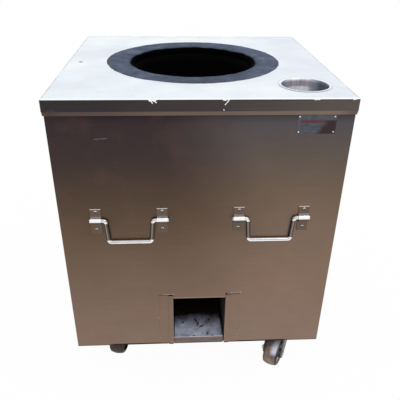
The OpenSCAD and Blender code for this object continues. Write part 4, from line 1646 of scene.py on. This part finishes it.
@dataclass
class Cup:
    """Polished round cup let into the cover.

    Attributes:
        centre: Place of the cup's axis on X and Y.
        radius: Inside radius.
        wall: Thickness of the wall.
        rim: Width of the flange that lies on the cover.
        cove: Radius between wall and bottom.
        lip: Radius between wall and flange.
    """

    centre: tuple[float, float] = (0.292, -0.275)
    radius: float = 0.066
    wall: float = 0.0012
    rim: float = 0.007
    cove: float = 0.005
    lip: float = 0.003

    def build(self) -> Piece:
        """Models the cup with a rolled flange and a coved bottom.

        Returns:
            The piece.
        """
        low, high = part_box("cup")
        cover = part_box("top_cover")[1].z
        bottom = low.z + self.wall
        r = self.radius
        out = r + self.wall + self.rim
        small = 0.0004
        inside = [(small, bottom)] + [((r - self.cove) * i / 6, bottom) for i in range(1, 6)]
        inside += arc((r - self.cove, bottom + self.cove), self.cove, -90, 0, 6)
        start = bottom + self.cove
        inside += [(r, start + (high.z - self.lip - start) * i / 10) for i in range(1, 11)]
        lip = arc((r + self.lip, high.z - self.lip), self.lip, 180, 90, 5)
        flange = [(out - 0.003, high.z - 0.0001)] + arc((out - 0.0008, cover + 0.0004), 0.0008, 80, 0, 3)
        wall = r + self.wall
        below = [(out - 0.0008, cover + 0.00005), (wall, cover + 0.00005), (wall, low.z + self.cove)]
        below += arc((wall - self.cove, low.z + self.cove), self.cove, 0, -90, 4)
        profile = inside + lip + flange + below + [(small, low.z)]
        mesh = lathe(profile, self.centre, 128)
        finish = CupSteel("cup_steel", self.centre, r, out, high.z)
        piece = finish_mesh("cup_body", mesh, finish.make(), OVEN)
        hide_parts("cup")
        return piece


@dataclass
class AshOpening:
    """Ash tray with its ash and cinders, and the welds on the shutter guides.

    Attributes:
        ash_length: Length of the ash layer from the tray's front.
        ash_depth: Greatest depth of the ash.
        cinders: Number of cinders on the ash.
        chips: Slivers of charcoal on the ash: place on X and Y, turn in degrees and half length.
        chip_half: Half the width and half the thickness of a sliver.
        sheet: Thickness of the tray's sheet.
        weld_radius: Radius of a weld bead.
        black_from: Place on Y behind which everything is black with painted shade and soot.
    """

    ash_length: float = 0.50
    ash_depth: float = 0.006
    cinders: int = 16
    chips: tuple[tuple[float, float, float, float], ...] = (
        (-0.007, -0.308, 112.0, 0.0100), (0.000, -0.326, 78.0, 0.0120), (0.012, -0.338, 24.0, 0.0100),
        (-0.052, -0.318, 20.0, 0.0040), (0.040, -0.305, 130.0, 0.0040),
    )
    chip_half: tuple[float, float] = (0.0036, 0.0020)
    sheet: float = 0.0012
    weld_radius: float = 0.0010
    black_from: float = -0.345

    def floor(self) -> float:
        """Gives the height of the tray's floor."""
        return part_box("bottom_plate")[1].z + 0.0003 + self.sheet

    def height(self, x: float, y: float) -> float:
        """Gives the depth of the ash.

        Args:
            x: Place on X.
            y: Place on Y.

        Returns:
            The depth in metres.
        """
        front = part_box(TRAY)[0].y + self.sheet
        slow = noise.noise(Vector((14 * x, 14 * y, 3.3)))
        quick = noise.fractal(Vector((60 * x, 60 * y, 0.7)), 0.8, 2.2, 4)
        heap = 0.06 + 0.80 * min(1.0, max(0.0, (y - front - 0.05) / 0.2))
        return max(0.00012, self.ash_depth * heap * (0.45 + 0.8 * slow + 0.45 * quick))

    def ash(self) -> Piece:
        """Models the uneven layer of ash, thin at the front of the tray.

        Returns:
            The piece.
        """
        low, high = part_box(TRAY)
        floor = self.floor()
        gap = self.sheet + 0.0004
        xs = [low.x + gap + (high.x - low.x - 2 * gap) * i / 48 for i in range(49)]
        ys = [low.y + gap + self.ash_length * j / 140 for j in range(141)]
        mesh = bmesh.new()
        top = [[mesh.verts.new((x, y, floor + self.height(x, y))) for x in xs] for y in ys]
        for first, second in zip(top, top[1:]):
            for i in range(len(xs) - 1):
                mesh.faces.new((first[i], first[i + 1], second[i + 1], second[i]))
        rim = top[0] + [row[-1] for row in top[1:-1]] + top[-1][::-1] + [row[0] for row in top[-2:0:-1]]
        foot = [mesh.verts.new((v.co.x, v.co.y, floor + 0.00004)) for v in rim]
        bridge(mesh, [rim, foot])
        mesh.faces.new(foot)
        finish = Ash("ash_look", srgb(168, 172, 196), srgb(226, 232, 254), self.black_from).make()
        return finish_mesh("ash_layer", mesh, finish, TRAY)

    def debris(self) -> Piece:
        """Models cinders and slivers of charcoal that lie on the ash.

        Returns:
            The piece.
        """
        low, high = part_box(TRAY)
        chance = random.Random(11)
        mesh = bmesh.new()
        for number in range(self.cinders):
            big = number % 4 == 0
            size = chance.uniform(0.0035, 0.0060) if big else chance.uniform(0.0010, 0.0026)
            x = chance.uniform(low.x + 0.012, high.x - 0.012)
            y = low.y + 0.012 + 0.24 * chance.random() ** 1.3
            stretch = Vector((chance.uniform(0.7, 1.8), chance.uniform(0.7, 1.3), 0.45))
            part = bmesh.new()
            bmesh.ops.create_icosphere(part, subdivisions=3 if big else 2, radius=size)
            for vert in part.verts:
                lump = noise.fractal(vert.co * (0.9 / size) + Vector((number, 0, 0)), 0.9, 2.1, 3)
                vert.co = (vert.co * (1 + 0.45 * lump)) * stretch
            spin = Matrix.Rotation(chance.uniform(0, math.pi), 4, "Z")
            bmesh.ops.transform(part, matrix=spin, verts=part.verts)
            sink = min(vert.co.z for vert in part.verts)
            place_part(mesh, part, (x, y, self.floor() + self.height(x, y) - 0.85 * sink), (0, 0, 1))
        for number, (x, y, turn, reach) in enumerate(self.chips):
            chip = bmesh.new()
            bmesh.ops.create_icosphere(chip, subdivisions=3, radius=1.0)
            for vert in chip.verts:
                lump = noise.fractal(vert.co * 1.1 + Vector((0, number, 7)), 0.9, 2.1, 3)
                vert.co = vert.co * Vector((reach, *self.chip_half)) * (1 + 0.4 * lump)
            lay = Matrix.Translation((x, y, self.floor() + self.height(x, y) + 0.0012))
            lay @= Matrix.Rotation(math.radians(turn), 4, "Z")
            bmesh.ops.transform(chip, matrix=lay, verts=chip.verts)
            join(mesh, chip)
        finish = Ash("cinder_look", srgb(62, 56, 62), srgb(118, 112, 120), self.black_from).make()
        return finish_mesh("cinders", mesh, finish, TRAY, sharp=45)

    def welds(self) -> Piece:
        """Models the rough tack welds that hold the shutter guides.

        Returns:
            The piece.
        """
        left_low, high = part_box("shutter_guide_left")
        right_low, right_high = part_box("shutter_guide_right")
        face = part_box("front_panel")[0].y
        y = face - 0.0004
        r = self.weld_radius
        mesh = bmesh.new()
        top = high.z - 0.0002
        for number, (x0, up0, x1, up1) in enumerate((
            (-0.1130, 0.0034, -0.1050, 0.0036), (-0.1035, 0.0038, -0.0935, 0.0040),
            (-0.0920, 0.0036, -0.0800, 0.0044), (0.0890, 0.0016, 0.0960, 0.0030),
            (0.0970, 0.0042, 0.1050, 0.0056), (0.1070, 0.0052, 0.1150, 0.0066),
            (0.1175, 0.0060, 0.1240, 0.0072), (0.1262, 0.0070, 0.1335, 0.0078),
        )):
            bead(mesh, (x0, y, top + up0), (x1, y, top + up1), r, 1.0 + number)
        for number, (x, z) in enumerate((
            (left_low.x, left_low.z + 0.022), (left_low.x, left_low.z + 0.110),
            (right_high.x, right_low.z + 0.030), (right_high.x, right_low.z + 0.124),
        )):
            bead(mesh, (x, y, z), (x, y, z + 0.006), 0.7 * r, 11.0 + number)
        finish = DullMetal("weld_look", srgb(176, 168, 162), srgb(226, 222, 220), 0.6, 0.40, 700, 0.0002,
                           srgb(84, 66, 60), 0.45)
        return finish_mesh("guide_welds", mesh, finish.make(), OVEN)

    def build(self) -> None:
        """Models the ash, the cinders and the welds, and dresses the tray."""
        low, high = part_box(TRAY)
        dress([TRAY], TraySteel("tray_steel_look", low.y, low.z, high.z, self.black_from).make())
        soften(TRAY, 0.0004)
        self.ash()
        self.debris()
        self.welds()


@dataclass
class Casters:
    """Four swivel casters: plates, forks, axles, bushes and wheels.

    Attributes:
        bore: Radius of the hole for the bush.
        hub: Radius of the hub.
        hub_half: Half the length of the hub.
        web_half: Half the thickness between hub and rim.
        half: Half the width of the tread.
        rim: Thickness of the rim.
        crown: How much lower the tread is at its edges.
        shoulder: Radius of the tread's shoulders.
        leg_gap: Distance from the hub's end to the outside of the fork's leg.
        rod: Radius of the axle.
        stub: How far the axle stands out of the leg at the nut.
        head: Radius of head and nut over their corners.
        head_height: Height of the axle's head.
        nut_height: Height of the axle's nut.
    """

    bore: float = 0.0075
    hub: float = 0.016
    hub_half: float = 0.0285
    web_half: float = 0.016
    half: float = 0.025
    rim: float = 0.012
    crown: float = 0.0026
    shoulder: float = 0.0085
    leg_gap: float = 0.0056
    rod: float = 0.0060
    stub: float = 0.0076
    head: float = 0.0096
    head_height: float = 0.0042
    nut_height: float = 0.0058

    def section(self, radius: float) -> Profile:
        """Draws half the section of a wheel.

        Args:
            radius: Radius of the wheel.

        Returns:
            The closed outline.
        """
        deep = radius - self.rim
        side = [(self.bore, self.hub_half), (self.hub - 0.0010, self.hub_half)]
        side += [(self.hub, self.hub_half - 0.0010)]
        side += [(self.hub + 0.0006, self.web_half + 0.0030)]
        side += arc((self.hub + 0.0030, self.web_half + 0.0024), 0.0024, 180, 270, 4)
        side += arc((deep - 0.0045, self.web_half + 0.0030), 0.0030, 270, 345, 4)
        side += [(deep - 0.0004, self.half - 0.0006), (deep + 0.0004, self.half)]
        middle = (radius - self.crown - self.shoulder, self.half - self.shoulder)
        shoulder = arc(middle, self.shoulder, 90, 4, 8)
        shares = (0.8, 0.6, 0.4, 0.2)
        tread = [(radius - self.crown * share ** 2, share * middle[1]) for share in shares]
        right = side + shoulder + tread
        return right + [(radius, 0.0)] + [(r, -a) for r, a in reversed(right)]

    def wheel(self, corner: str) -> Piece:
        """Models one worn wheel on its own axle line.

        Args:
            corner: Corner of the oven.

        Returns:
            The piece.
        """
        low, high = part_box(f"wheel_{corner}")
        radius = (high.z - low.z) / 2
        roll = joint(f"caster_{corner}_roll")
        seed = float(CORNERS.index(corner))

        def shift(angle: float, number: int, r: float, z: float) -> tuple[float, float]:
            """Pits the tread a little.

            Args:
                angle: Angle round the axis, in radians.
                number: Number of the point in the profile.
                r: Radius of the point.
                z: Height of the point.

            Returns:
                Shift of the radius and of the height.
            """
            if r < radius - self.rim:
                return 0.0, 0.0
            place = Vector((60 * r * math.cos(angle), 60 * r * math.sin(angle), 60 * z + 9 * seed))
            return -0.00030 * abs(noise.noise(place)), 0.0

        part = lathe(self.section(radius), (0.0, 0.0), 128, shift)
        mesh = bmesh.new()
        place_part(mesh, part, tuple(roll["pos_m"]), tuple(roll["axis"]))
        # Lit and shaded copies of one finish: the front left wheel is painted darker as if in shade, the front
        # right lighter with a strong painted glint, the rest with a faint painted glint.
        tones = {
            "front_left": (srgb(34, 23, 16), srgb(66, 48, 37), 0.0),
            "front_right": (srgb(84, 68, 58), srgb(150, 130, 118), 0.9),
        }
        dark, light, glint = tones.get(corner, (srgb(62, 52, 46), srgb(112, 96, 86), 0.3))
        centre, axle = tuple(roll["pos_m"]), tuple(roll["axis"][:2])
        finish = WheelIron(f"wheel_iron_{corner}", centre, axle, self.half, dark, light, glint)
        piece = finish_mesh(f"wheel_body_{corner}", mesh, finish.make(), f"roller_{corner}",
                            sharp=50)
        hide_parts(f"wheel_{corner}")
        return piece

    def axle(self, corner: str, finish: Material) -> Piece:
        """Models one axle with its hexagonal head and a thin nut, both chamfered.

        Args:
            corner: Corner of the oven.
            finish: Material of the axle.

        Returns:
            The piece.
        """
        roll = joint(f"caster_{corner}_roll")
        place, out = tuple(roll["pos_m"]), tuple(roll["axis"])
        mesh = bmesh.new()
        leg = self.hub_half + self.leg_gap
        rod, tip = self.rod, leg + self.stub
        pin = [(PINHOLE, -leg), (rod, -leg), (rod, tip - 0.0010), (rod - 0.0008, tip), (PINHOLE, tip)]
        place_part(mesh, lathe(pin, (0.0, 0.0), 32), place, out)
        for start, end in ((-leg, -leg - self.head_height), (leg, leg + self.nut_height)):
            bevel = 0.0011 if end > start else -0.0011
            block = [(PINHOLE, start), (self.head, start), (self.head, end - bevel),
                     (self.head - 0.0014, end), (PINHOLE, end)]
            place_part(mesh, lathe(block, (0.0, 0.0), 6), place, out)
        piece = finish_mesh(f"axle_body_{corner}", mesh, finish, f"roller_{corner}",
                            sharp=25)
        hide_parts(f"axle_{corner}")
        return piece

    def build(self) -> None:
        """Models the wheels and axles and dresses the rest."""
        zinc = DullMetal("caster_zinc_look", srgb(82, 80, 80), srgb(126, 122, 120), 0.85, 0.42, 600, 0.0001,
                         srgb(86, 66, 50), 0.35).make()
        dress(["caster_top_plates", "caster_kingpins", "caster_bolts"], zinc)
        dress([f"fork_{corner}" for corner in CORNERS], zinc)
        middle = joint("caster_front_right_roll")["pos_m"][0]
        dress(["fork_front_right"],
              DullMetal("fork_zinc_look", srgb(88, 82, 79), srgb(122, 114, 110), 0.6, 0.42, 600, 0.0001,
                        srgb(86, 66, 50), 0.35, shade=(middle - 0.012, middle + 0.004)).make())
        bright = DullMetal("axle_zinc_look", srgb(206, 206, 212), srgb(240, 240, 246), 0.3, 0.34, 700,
                           0.00005, srgb(120, 112, 106), 0.3).make()
        brass = DullMetal("bush_brass_look", srgb(120, 98, 56), srgb(158, 132, 80), 1.0, 0.35).make()
        dress([f"bush_{corner}" for corner in CORNERS], brass)
        for corner in CORNERS:
            self.wheel(corner)
            soften(f"fork_{corner}", 0.0010)
            self.axle(corner, bright)
        soften("caster_bolts", 0.0006)


@dataclass
class DropHandles:
    """Bails, saddle straps and screws.

    Attributes:
        slot_half: Half the width of the cross recess.
        slot_reach: Length of the recess from the screw's axis.
        slot_depth: Depth of the recess.
    """

    slot_half: float = 0.0006
    slot_reach: float = 0.0025
    slot_depth: float = 0.0009

    def head(self, radius: float, height: float, turn: float) -> MeshData:
        """Models a pan head with a cross recess, standing on its flat side.

        Args:
            radius: Radius of the head.
            height: Height of the head.
            turn: Turn of the recess in degrees.

        Returns:
            The mesh.
        """
        flat = 0.62 * radius
        profile = [(PINHOLE, 0.0), (radius, 0.0), (radius, 0.30 * height)]
        dome = (math.radians(a) for a in (75, 60, 45, 30, 15))
        profile += [(flat + (radius - flat) * math.sin(a), height * (0.30 + 0.70 * math.cos(a)))
                    for a in dome]
        profile += [(flat * share / 12, height) for share in range(12, 0, -1)] + [(PINHOLE, height)]

        def shift(angle: float, number: int, r: float, z: float) -> tuple[float, float]:
            """Sinks the recess into the top.

            Args:
                angle: Angle round the axis, in radians.
                number: Number of the point in the profile.
                r: Radius of the point.
                z: Height of the point.

            Returns:
                Shift of the radius and of the height.
            """
            across = abs(r * math.cos(angle + math.radians(turn)))
            up = abs(r * math.sin(angle + math.radians(turn)))
            inside = min(across, up) < self.slot_half and max(across, up) < self.slot_reach
            return 0.0, -self.slot_depth if inside and z > 0.9 * height else 0.0

        return lathe(profile, (0.0, 0.0), 72, shift)

    def screws(self, node: str, finish: Material) -> Piece:
        """Models the screws of one side of the oven in place of the CAD ones.

        Args:
            node: Name of the CAD screws.
            finish: Material of the screws.

        Returns:
            The piece.
        """
        chance = random.Random(len(node))
        mesh = bmesh.new()
        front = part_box(node)[0].y < 0
        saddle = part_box(node.replace("screws", "saddles"))
        face = saddle[1].y if front else saddle[0].y
        out = -1.0 if front else 1.0
        for low, high in solids(node):
            tip = low.y if front else high.y
            radius = (high.x - low.x) / 2
            height = 0.6 * radius
            centre = ((low.x + high.x) / 2, tip - out * height, (low.z + high.z) / 2)
            place_part(mesh, self.head(radius, height - 0.0001, chance.uniform(0, 90)), centre, (0, out, 0))
            shank = bmesh.new()
            bmesh.ops.create_cone(shank, cap_ends=True, segments=24, radius1=radius / 2, radius2=radius / 2,
                                  depth=abs(centre[1] - face))
            place_part(mesh, shank, (centre[0], (centre[1] + face) / 2, centre[2]), (0, out, 0))
        name = node.replace("handle", "pan_head")
        piece = finish_mesh(name, mesh, finish, OVEN, sharp=40)
        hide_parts(node)
        return piece

    def build(self) -> None:
        """Models the screws and dresses the rest."""
        foot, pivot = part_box("bail_front_left")[0].z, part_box("bail_front_left")[1].z
        # Painted highlights and reflections on the rods; the upright legs are darker at their sides with a
        # light stripe.
        rod = PolishedSteel("handle_steel", [
            (0.08, srgb(96, 92, 94)), (0.28, srgb(246, 244, 244)), (0.54, srgb(252, 250, 250)),
            (0.66, srgb(158, 160, 160)), (0.80, srgb(214, 214, 216)), (1.0, srgb(240, 240, 243)),
        ], 0.16, 0.12, upright=(foot + 0.013, pivot - 0.012), side_tones=[
            (0.0, srgb(62, 52, 47)), (0.28, srgb(92, 80, 73)), (0.40, srgb(166, 159, 156)),
            (0.52, srgb(106, 95, 88)), (1.0, srgb(68, 57, 50)),
        ]).make()
        dress([f"bail_{corner}" for corner in CORNERS], rod)
        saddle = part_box("handle_saddles_front")
        middle = (saddle[0].z + saddle[1].z) / 2
        strap = StrapSteel("strap_steel", middle + 0.0035, -saddle[1].y + 0.003, saddle[1].z).make()
        dress(["handle_saddles_front", "handle_saddles_rear"], strap)
        # Painted highlight on the upper side of the heads, painted shade below.
        screw = PolishedSteel("screw_steel", [
            (0.45, srgb(84, 74, 70)), (0.56, srgb(120, 110, 108)), (0.70, srgb(235, 233, 233)),
        ], 0.22, 0.15).make()
        for side in ("front", "rear"):
            soften(f"handle_saddles_{side}", 0.0009)
            self.screws(f"handle_screws_{side}", screw)


@dataclass
class NamePlate:
    """Name plate without words: a pressed border, plain rules and domed rivets.

    Attributes:
        corner: Radius of the plate's corners.
        border: Width of the raised border.
        press: How far the field lies below the border.
    """

    corner: float = 0.003
    border: float = 0.0022
    press: float = 0.0003

    def plate(self) -> Piece:
        """Models the plate with its border and three raised rules.

        Returns:
            The piece.
        """
        low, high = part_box("name_plate")
        half_x, half_z, thick = (high.x - low.x) / 2, (high.z - low.z) / 2, high.y - low.y
        part = bmesh.new()
        section = [(0.0, 0.00002), (0.0, thick - 0.0003), (0.0003, thick), (self.border, thick),
                   (self.border + 0.0005, thick - self.press)]
        loops = [ring(part, half_x - inset, half_z - inset, self.corner, z) for inset, z in section]
        bridge(part, loops)
        fill(part, loops[0])
        fill(part, loops[-1])
        for share, reach in ((-0.17, 0.72), (-0.35, 0.58), (-0.53, 0.66)):
            rule = bmesh.new()
            levels = [(inset, thick - sunk * self.press)
                      for inset, sunk in ((0.0, 1.0), (0.0001, 0.5), (0.0003, 0.4))]
            bars = [ring(rule, reach * half_x - inset, 0.0008 - inset, 0.0004, z) for inset, z in levels]
            bridge(rule, bars)
            fill(rule, bars[-1])
            place_part(part, rule, (0.0, share * half_z, 0.0), (0, 0, 1))
        upright = Matrix(((1, 0, 0, 0), (0, 0, -1, 0), (0, 1, 0, 0), (0, 0, 0, 1)))
        middle = Matrix.Translation(((low.x + high.x) / 2, high.y, (low.z + high.z) / 2))
        bmesh.ops.transform(part, matrix=middle @ upright, verts=part.verts)
        finish = PlateMetal("plate_metal_look", (low.x, low.z), (high.x, high.z))
        piece = finish_mesh("plate_body", part, finish.make(), OVEN, sharp=35, weighted=True)
        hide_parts("name_plate")
        return piece

    def rivets(self) -> Piece:
        """Models the four domed rivets.

        Returns:
            The piece.
        """
        mesh = bmesh.new()
        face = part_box("name_plate")[0].y
        for low, high in solids("name_plate_rivets"):
            radius, height = (high.x - low.x) / 2, face - low.y
            angles = (math.pi * i / 16 for i in range(8))
            dome = [(radius * math.cos(a), height * math.sin(a)) for a in angles]
            part = lathe([(PINHOLE, 0.0)] + dome + [(PINHOLE, height)], (0.0, 0.0), 32)
            place_part(mesh, part, ((low.x + high.x) / 2, face, (low.z + high.z) / 2), (0, -1, 0))
        # Painted highlight on the upper side of the domes.
        finish = PolishedSteel("rivet_steel", [(0.3, srgb(150, 144, 146)), (0.6, srgb(226, 224, 226))], 0.2)
        piece = finish_mesh("plate_rivets", mesh, finish.make(), OVEN, sharp=60)
        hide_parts("name_plate_rivets")
        return piece

    def build(self) -> None:
        """Models the plate and its rivets."""
        self.plate()
        self.rivets()


# ---------------------------------------------------------------------------------------------
# Camera, light and floor
# ---------------------------------------------------------------------------------------------


def plainly_seen(tree: bpy.types.NodeTree) -> Socket:
    """Tells rays of the eye, of mirrors and through glass from rays of light.

    Args:
        tree: Node tree that the nodes go into.

    Returns:
        The socket with 1 for such rays and 0 for others.
    """
    path = tree.nodes.new("ShaderNodeLightPath")
    seen = path.outputs["Is Camera Ray"]
    for kind in ("Is Glossy Ray", "Is Transmission Ray"):
        either = tree.nodes.new("ShaderNodeMath")
        either.operation = "MAXIMUM"
        tree.links.new(seen, either.inputs[0])
        tree.links.new(path.outputs[kind], either.inputs[1])
        seen = either.outputs[0]
    return seen


@dataclass
class Studio:
    """Camera at the photograph's angle, a soft lamp and a pale floor.

    Attributes:
        place: Place of the camera, in metres.
        yaw: Turn of the view to the right, in degrees.
        pitch: Tilt of the view downwards, in degrees.
        roll: Roll of the camera, in degrees.
        lens: Focal length for a 36 mm frame, in millimetres.
        sky: Strength of the surround as a light.
        key_place: Place of the lamp above, in metres.
        key_aim: Point that the lamp faces, in metres.
        key_size: Edge length of the lamp, in metres.
        key_power: Power of the lamp, in watts.
        glow: Share of plain white that the eye sees in the floor, the rest being its shaded surface.
    """

    place: Point = (-0.07117, -1.58601, 1.35611)
    yaw: float = 3.314
    pitch: float = 29.199
    roll: float = -0.787
    lens: float = 43.62
    sky: float = 0.95
    key_place: Point = (1.6, -1.8, 2.9)
    key_aim: Point = (0.0, 0.0, 0.6)
    key_size: float = 1.8
    key_power: float = 14.0
    glow: float = 0.97

    def camera(self) -> Piece:
        """Places the camera.

        Returns:
            The camera.
        """
        yaw, pitch, roll = (math.radians(a) for a in (self.yaw, self.pitch, self.roll))
        ahead = Vector((math.sin(yaw) * math.cos(pitch), math.cos(yaw) * math.cos(pitch), -math.sin(pitch)))
        right = Vector((math.cos(yaw), -math.sin(yaw), 0.0))
        down = ahead.cross(right)
        x = math.cos(roll) * right + math.sin(roll) * down
        y = math.sin(roll) * right - math.cos(roll) * down
        data = bpy.data.cameras.new("view")
        data.lens = self.lens
        data.sensor_width = 36.0
        data.sensor_fit = "HORIZONTAL"
        data.clip_start = 0.01
        camera = bpy.data.objects.new("view", data)
        camera.matrix_world = Matrix.Translation(self.place) @ Matrix((x, y, -ahead)).transposed().to_4x4()
        bpy.context.scene.collection.objects.link(camera)
        bpy.context.scene.camera = camera
        return camera

    def lamp(self, name: str, place: Point, target: Point, size: float, power: float) -> None:
        """Adds a square soft lamp.

        Args:
            name: Name of the lamp.
            place: Place of the lamp.
            target: Point that the lamp faces.
            size: Edge length of the lamp in metres.
            power: Power in watts.
        """
        data = bpy.data.lights.new(name, "AREA")
        data.size = size
        data.energy = power
        lamp = bpy.data.objects.new(name, data)
        lamp.location = place
        lamp.rotation_euler = (Vector(target) - Vector(place)).to_track_quat("-Z", "Y").to_euler()
        bpy.context.scene.collection.objects.link(lamp)

    def world(self) -> None:
        """Sets a white surround, full white to the eye and in reflections."""
        world = bpy.data.worlds.new("surround")
        bpy.context.scene.world = world
        world.use_nodes = True
        tree = world.node_tree
        background = tree.nodes["Background"]
        strength = tree.nodes.new("ShaderNodeMapRange")
        strength.inputs["To Min"].default_value = self.sky
        strength.inputs["To Max"].default_value = 1.0
        tree.links.new(plainly_seen(tree), strength.inputs["Value"])
        tree.links.new(strength.outputs[0], background.inputs["Strength"])
        background.inputs["Color"].default_value = (1.0, 1.0, 1.0, 1.0)

    def floor(self) -> None:
        """Lays a pale floor that keeps a light shadow."""
        mesh = bmesh.new()
        bmesh.ops.create_grid(mesh, x_segments=1, y_segments=1, size=9.0)
        data = bpy.data.meshes.new("floor")
        mesh.to_mesh(data)
        mesh.free()
        floor = bpy.data.objects.new("floor", data)
        bpy.context.scene.collection.objects.link(floor)
        s = Shader("floor_look")
        s.surface(Base_Color=(0.92, 0.92, 0.92), Roughness=0.9, Specular_IOR_Level=0.0)
        glow = s.add("ShaderNodeEmission")
        mixed = s.add("ShaderNodeMixShader")
        s.put(mixed.inputs[0], s.times(plainly_seen(s.tree), self.glow))
        s.put(mixed.inputs[1], s.bsdf.outputs[0])
        s.put(mixed.inputs[2], glow.outputs[0])
        s.put(s.tree.nodes["Material Output"].inputs["Surface"], mixed.outputs[0])
        data.materials.append(s.material)

    def build(self) -> None:
        """Sets up the camera, the floor, the surround and the lamp."""
        self.camera()
        self.floor()
        self.world()
        self.lamp("key", self.key_place, self.key_aim, self.key_size, self.key_power)
        bpy.context.scene.view_settings.view_transform = "Standard"


def main() -> None:
    """Builds the sub-assemblies in order."""
    logging.basicConfig(level=logging.INFO, format="%(name)s: %(message)s")
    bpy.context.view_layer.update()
    assemblies = [Studio(), Cabinet(), Mouth(), Cup(), AshOpening(), NamePlate(), DropHandles(), Casters()]
    for assembly in assemblies:
        assembly.build()
        log.info("built %s", type(assembly).__name__)


if __name__ == "__main__":
    main()
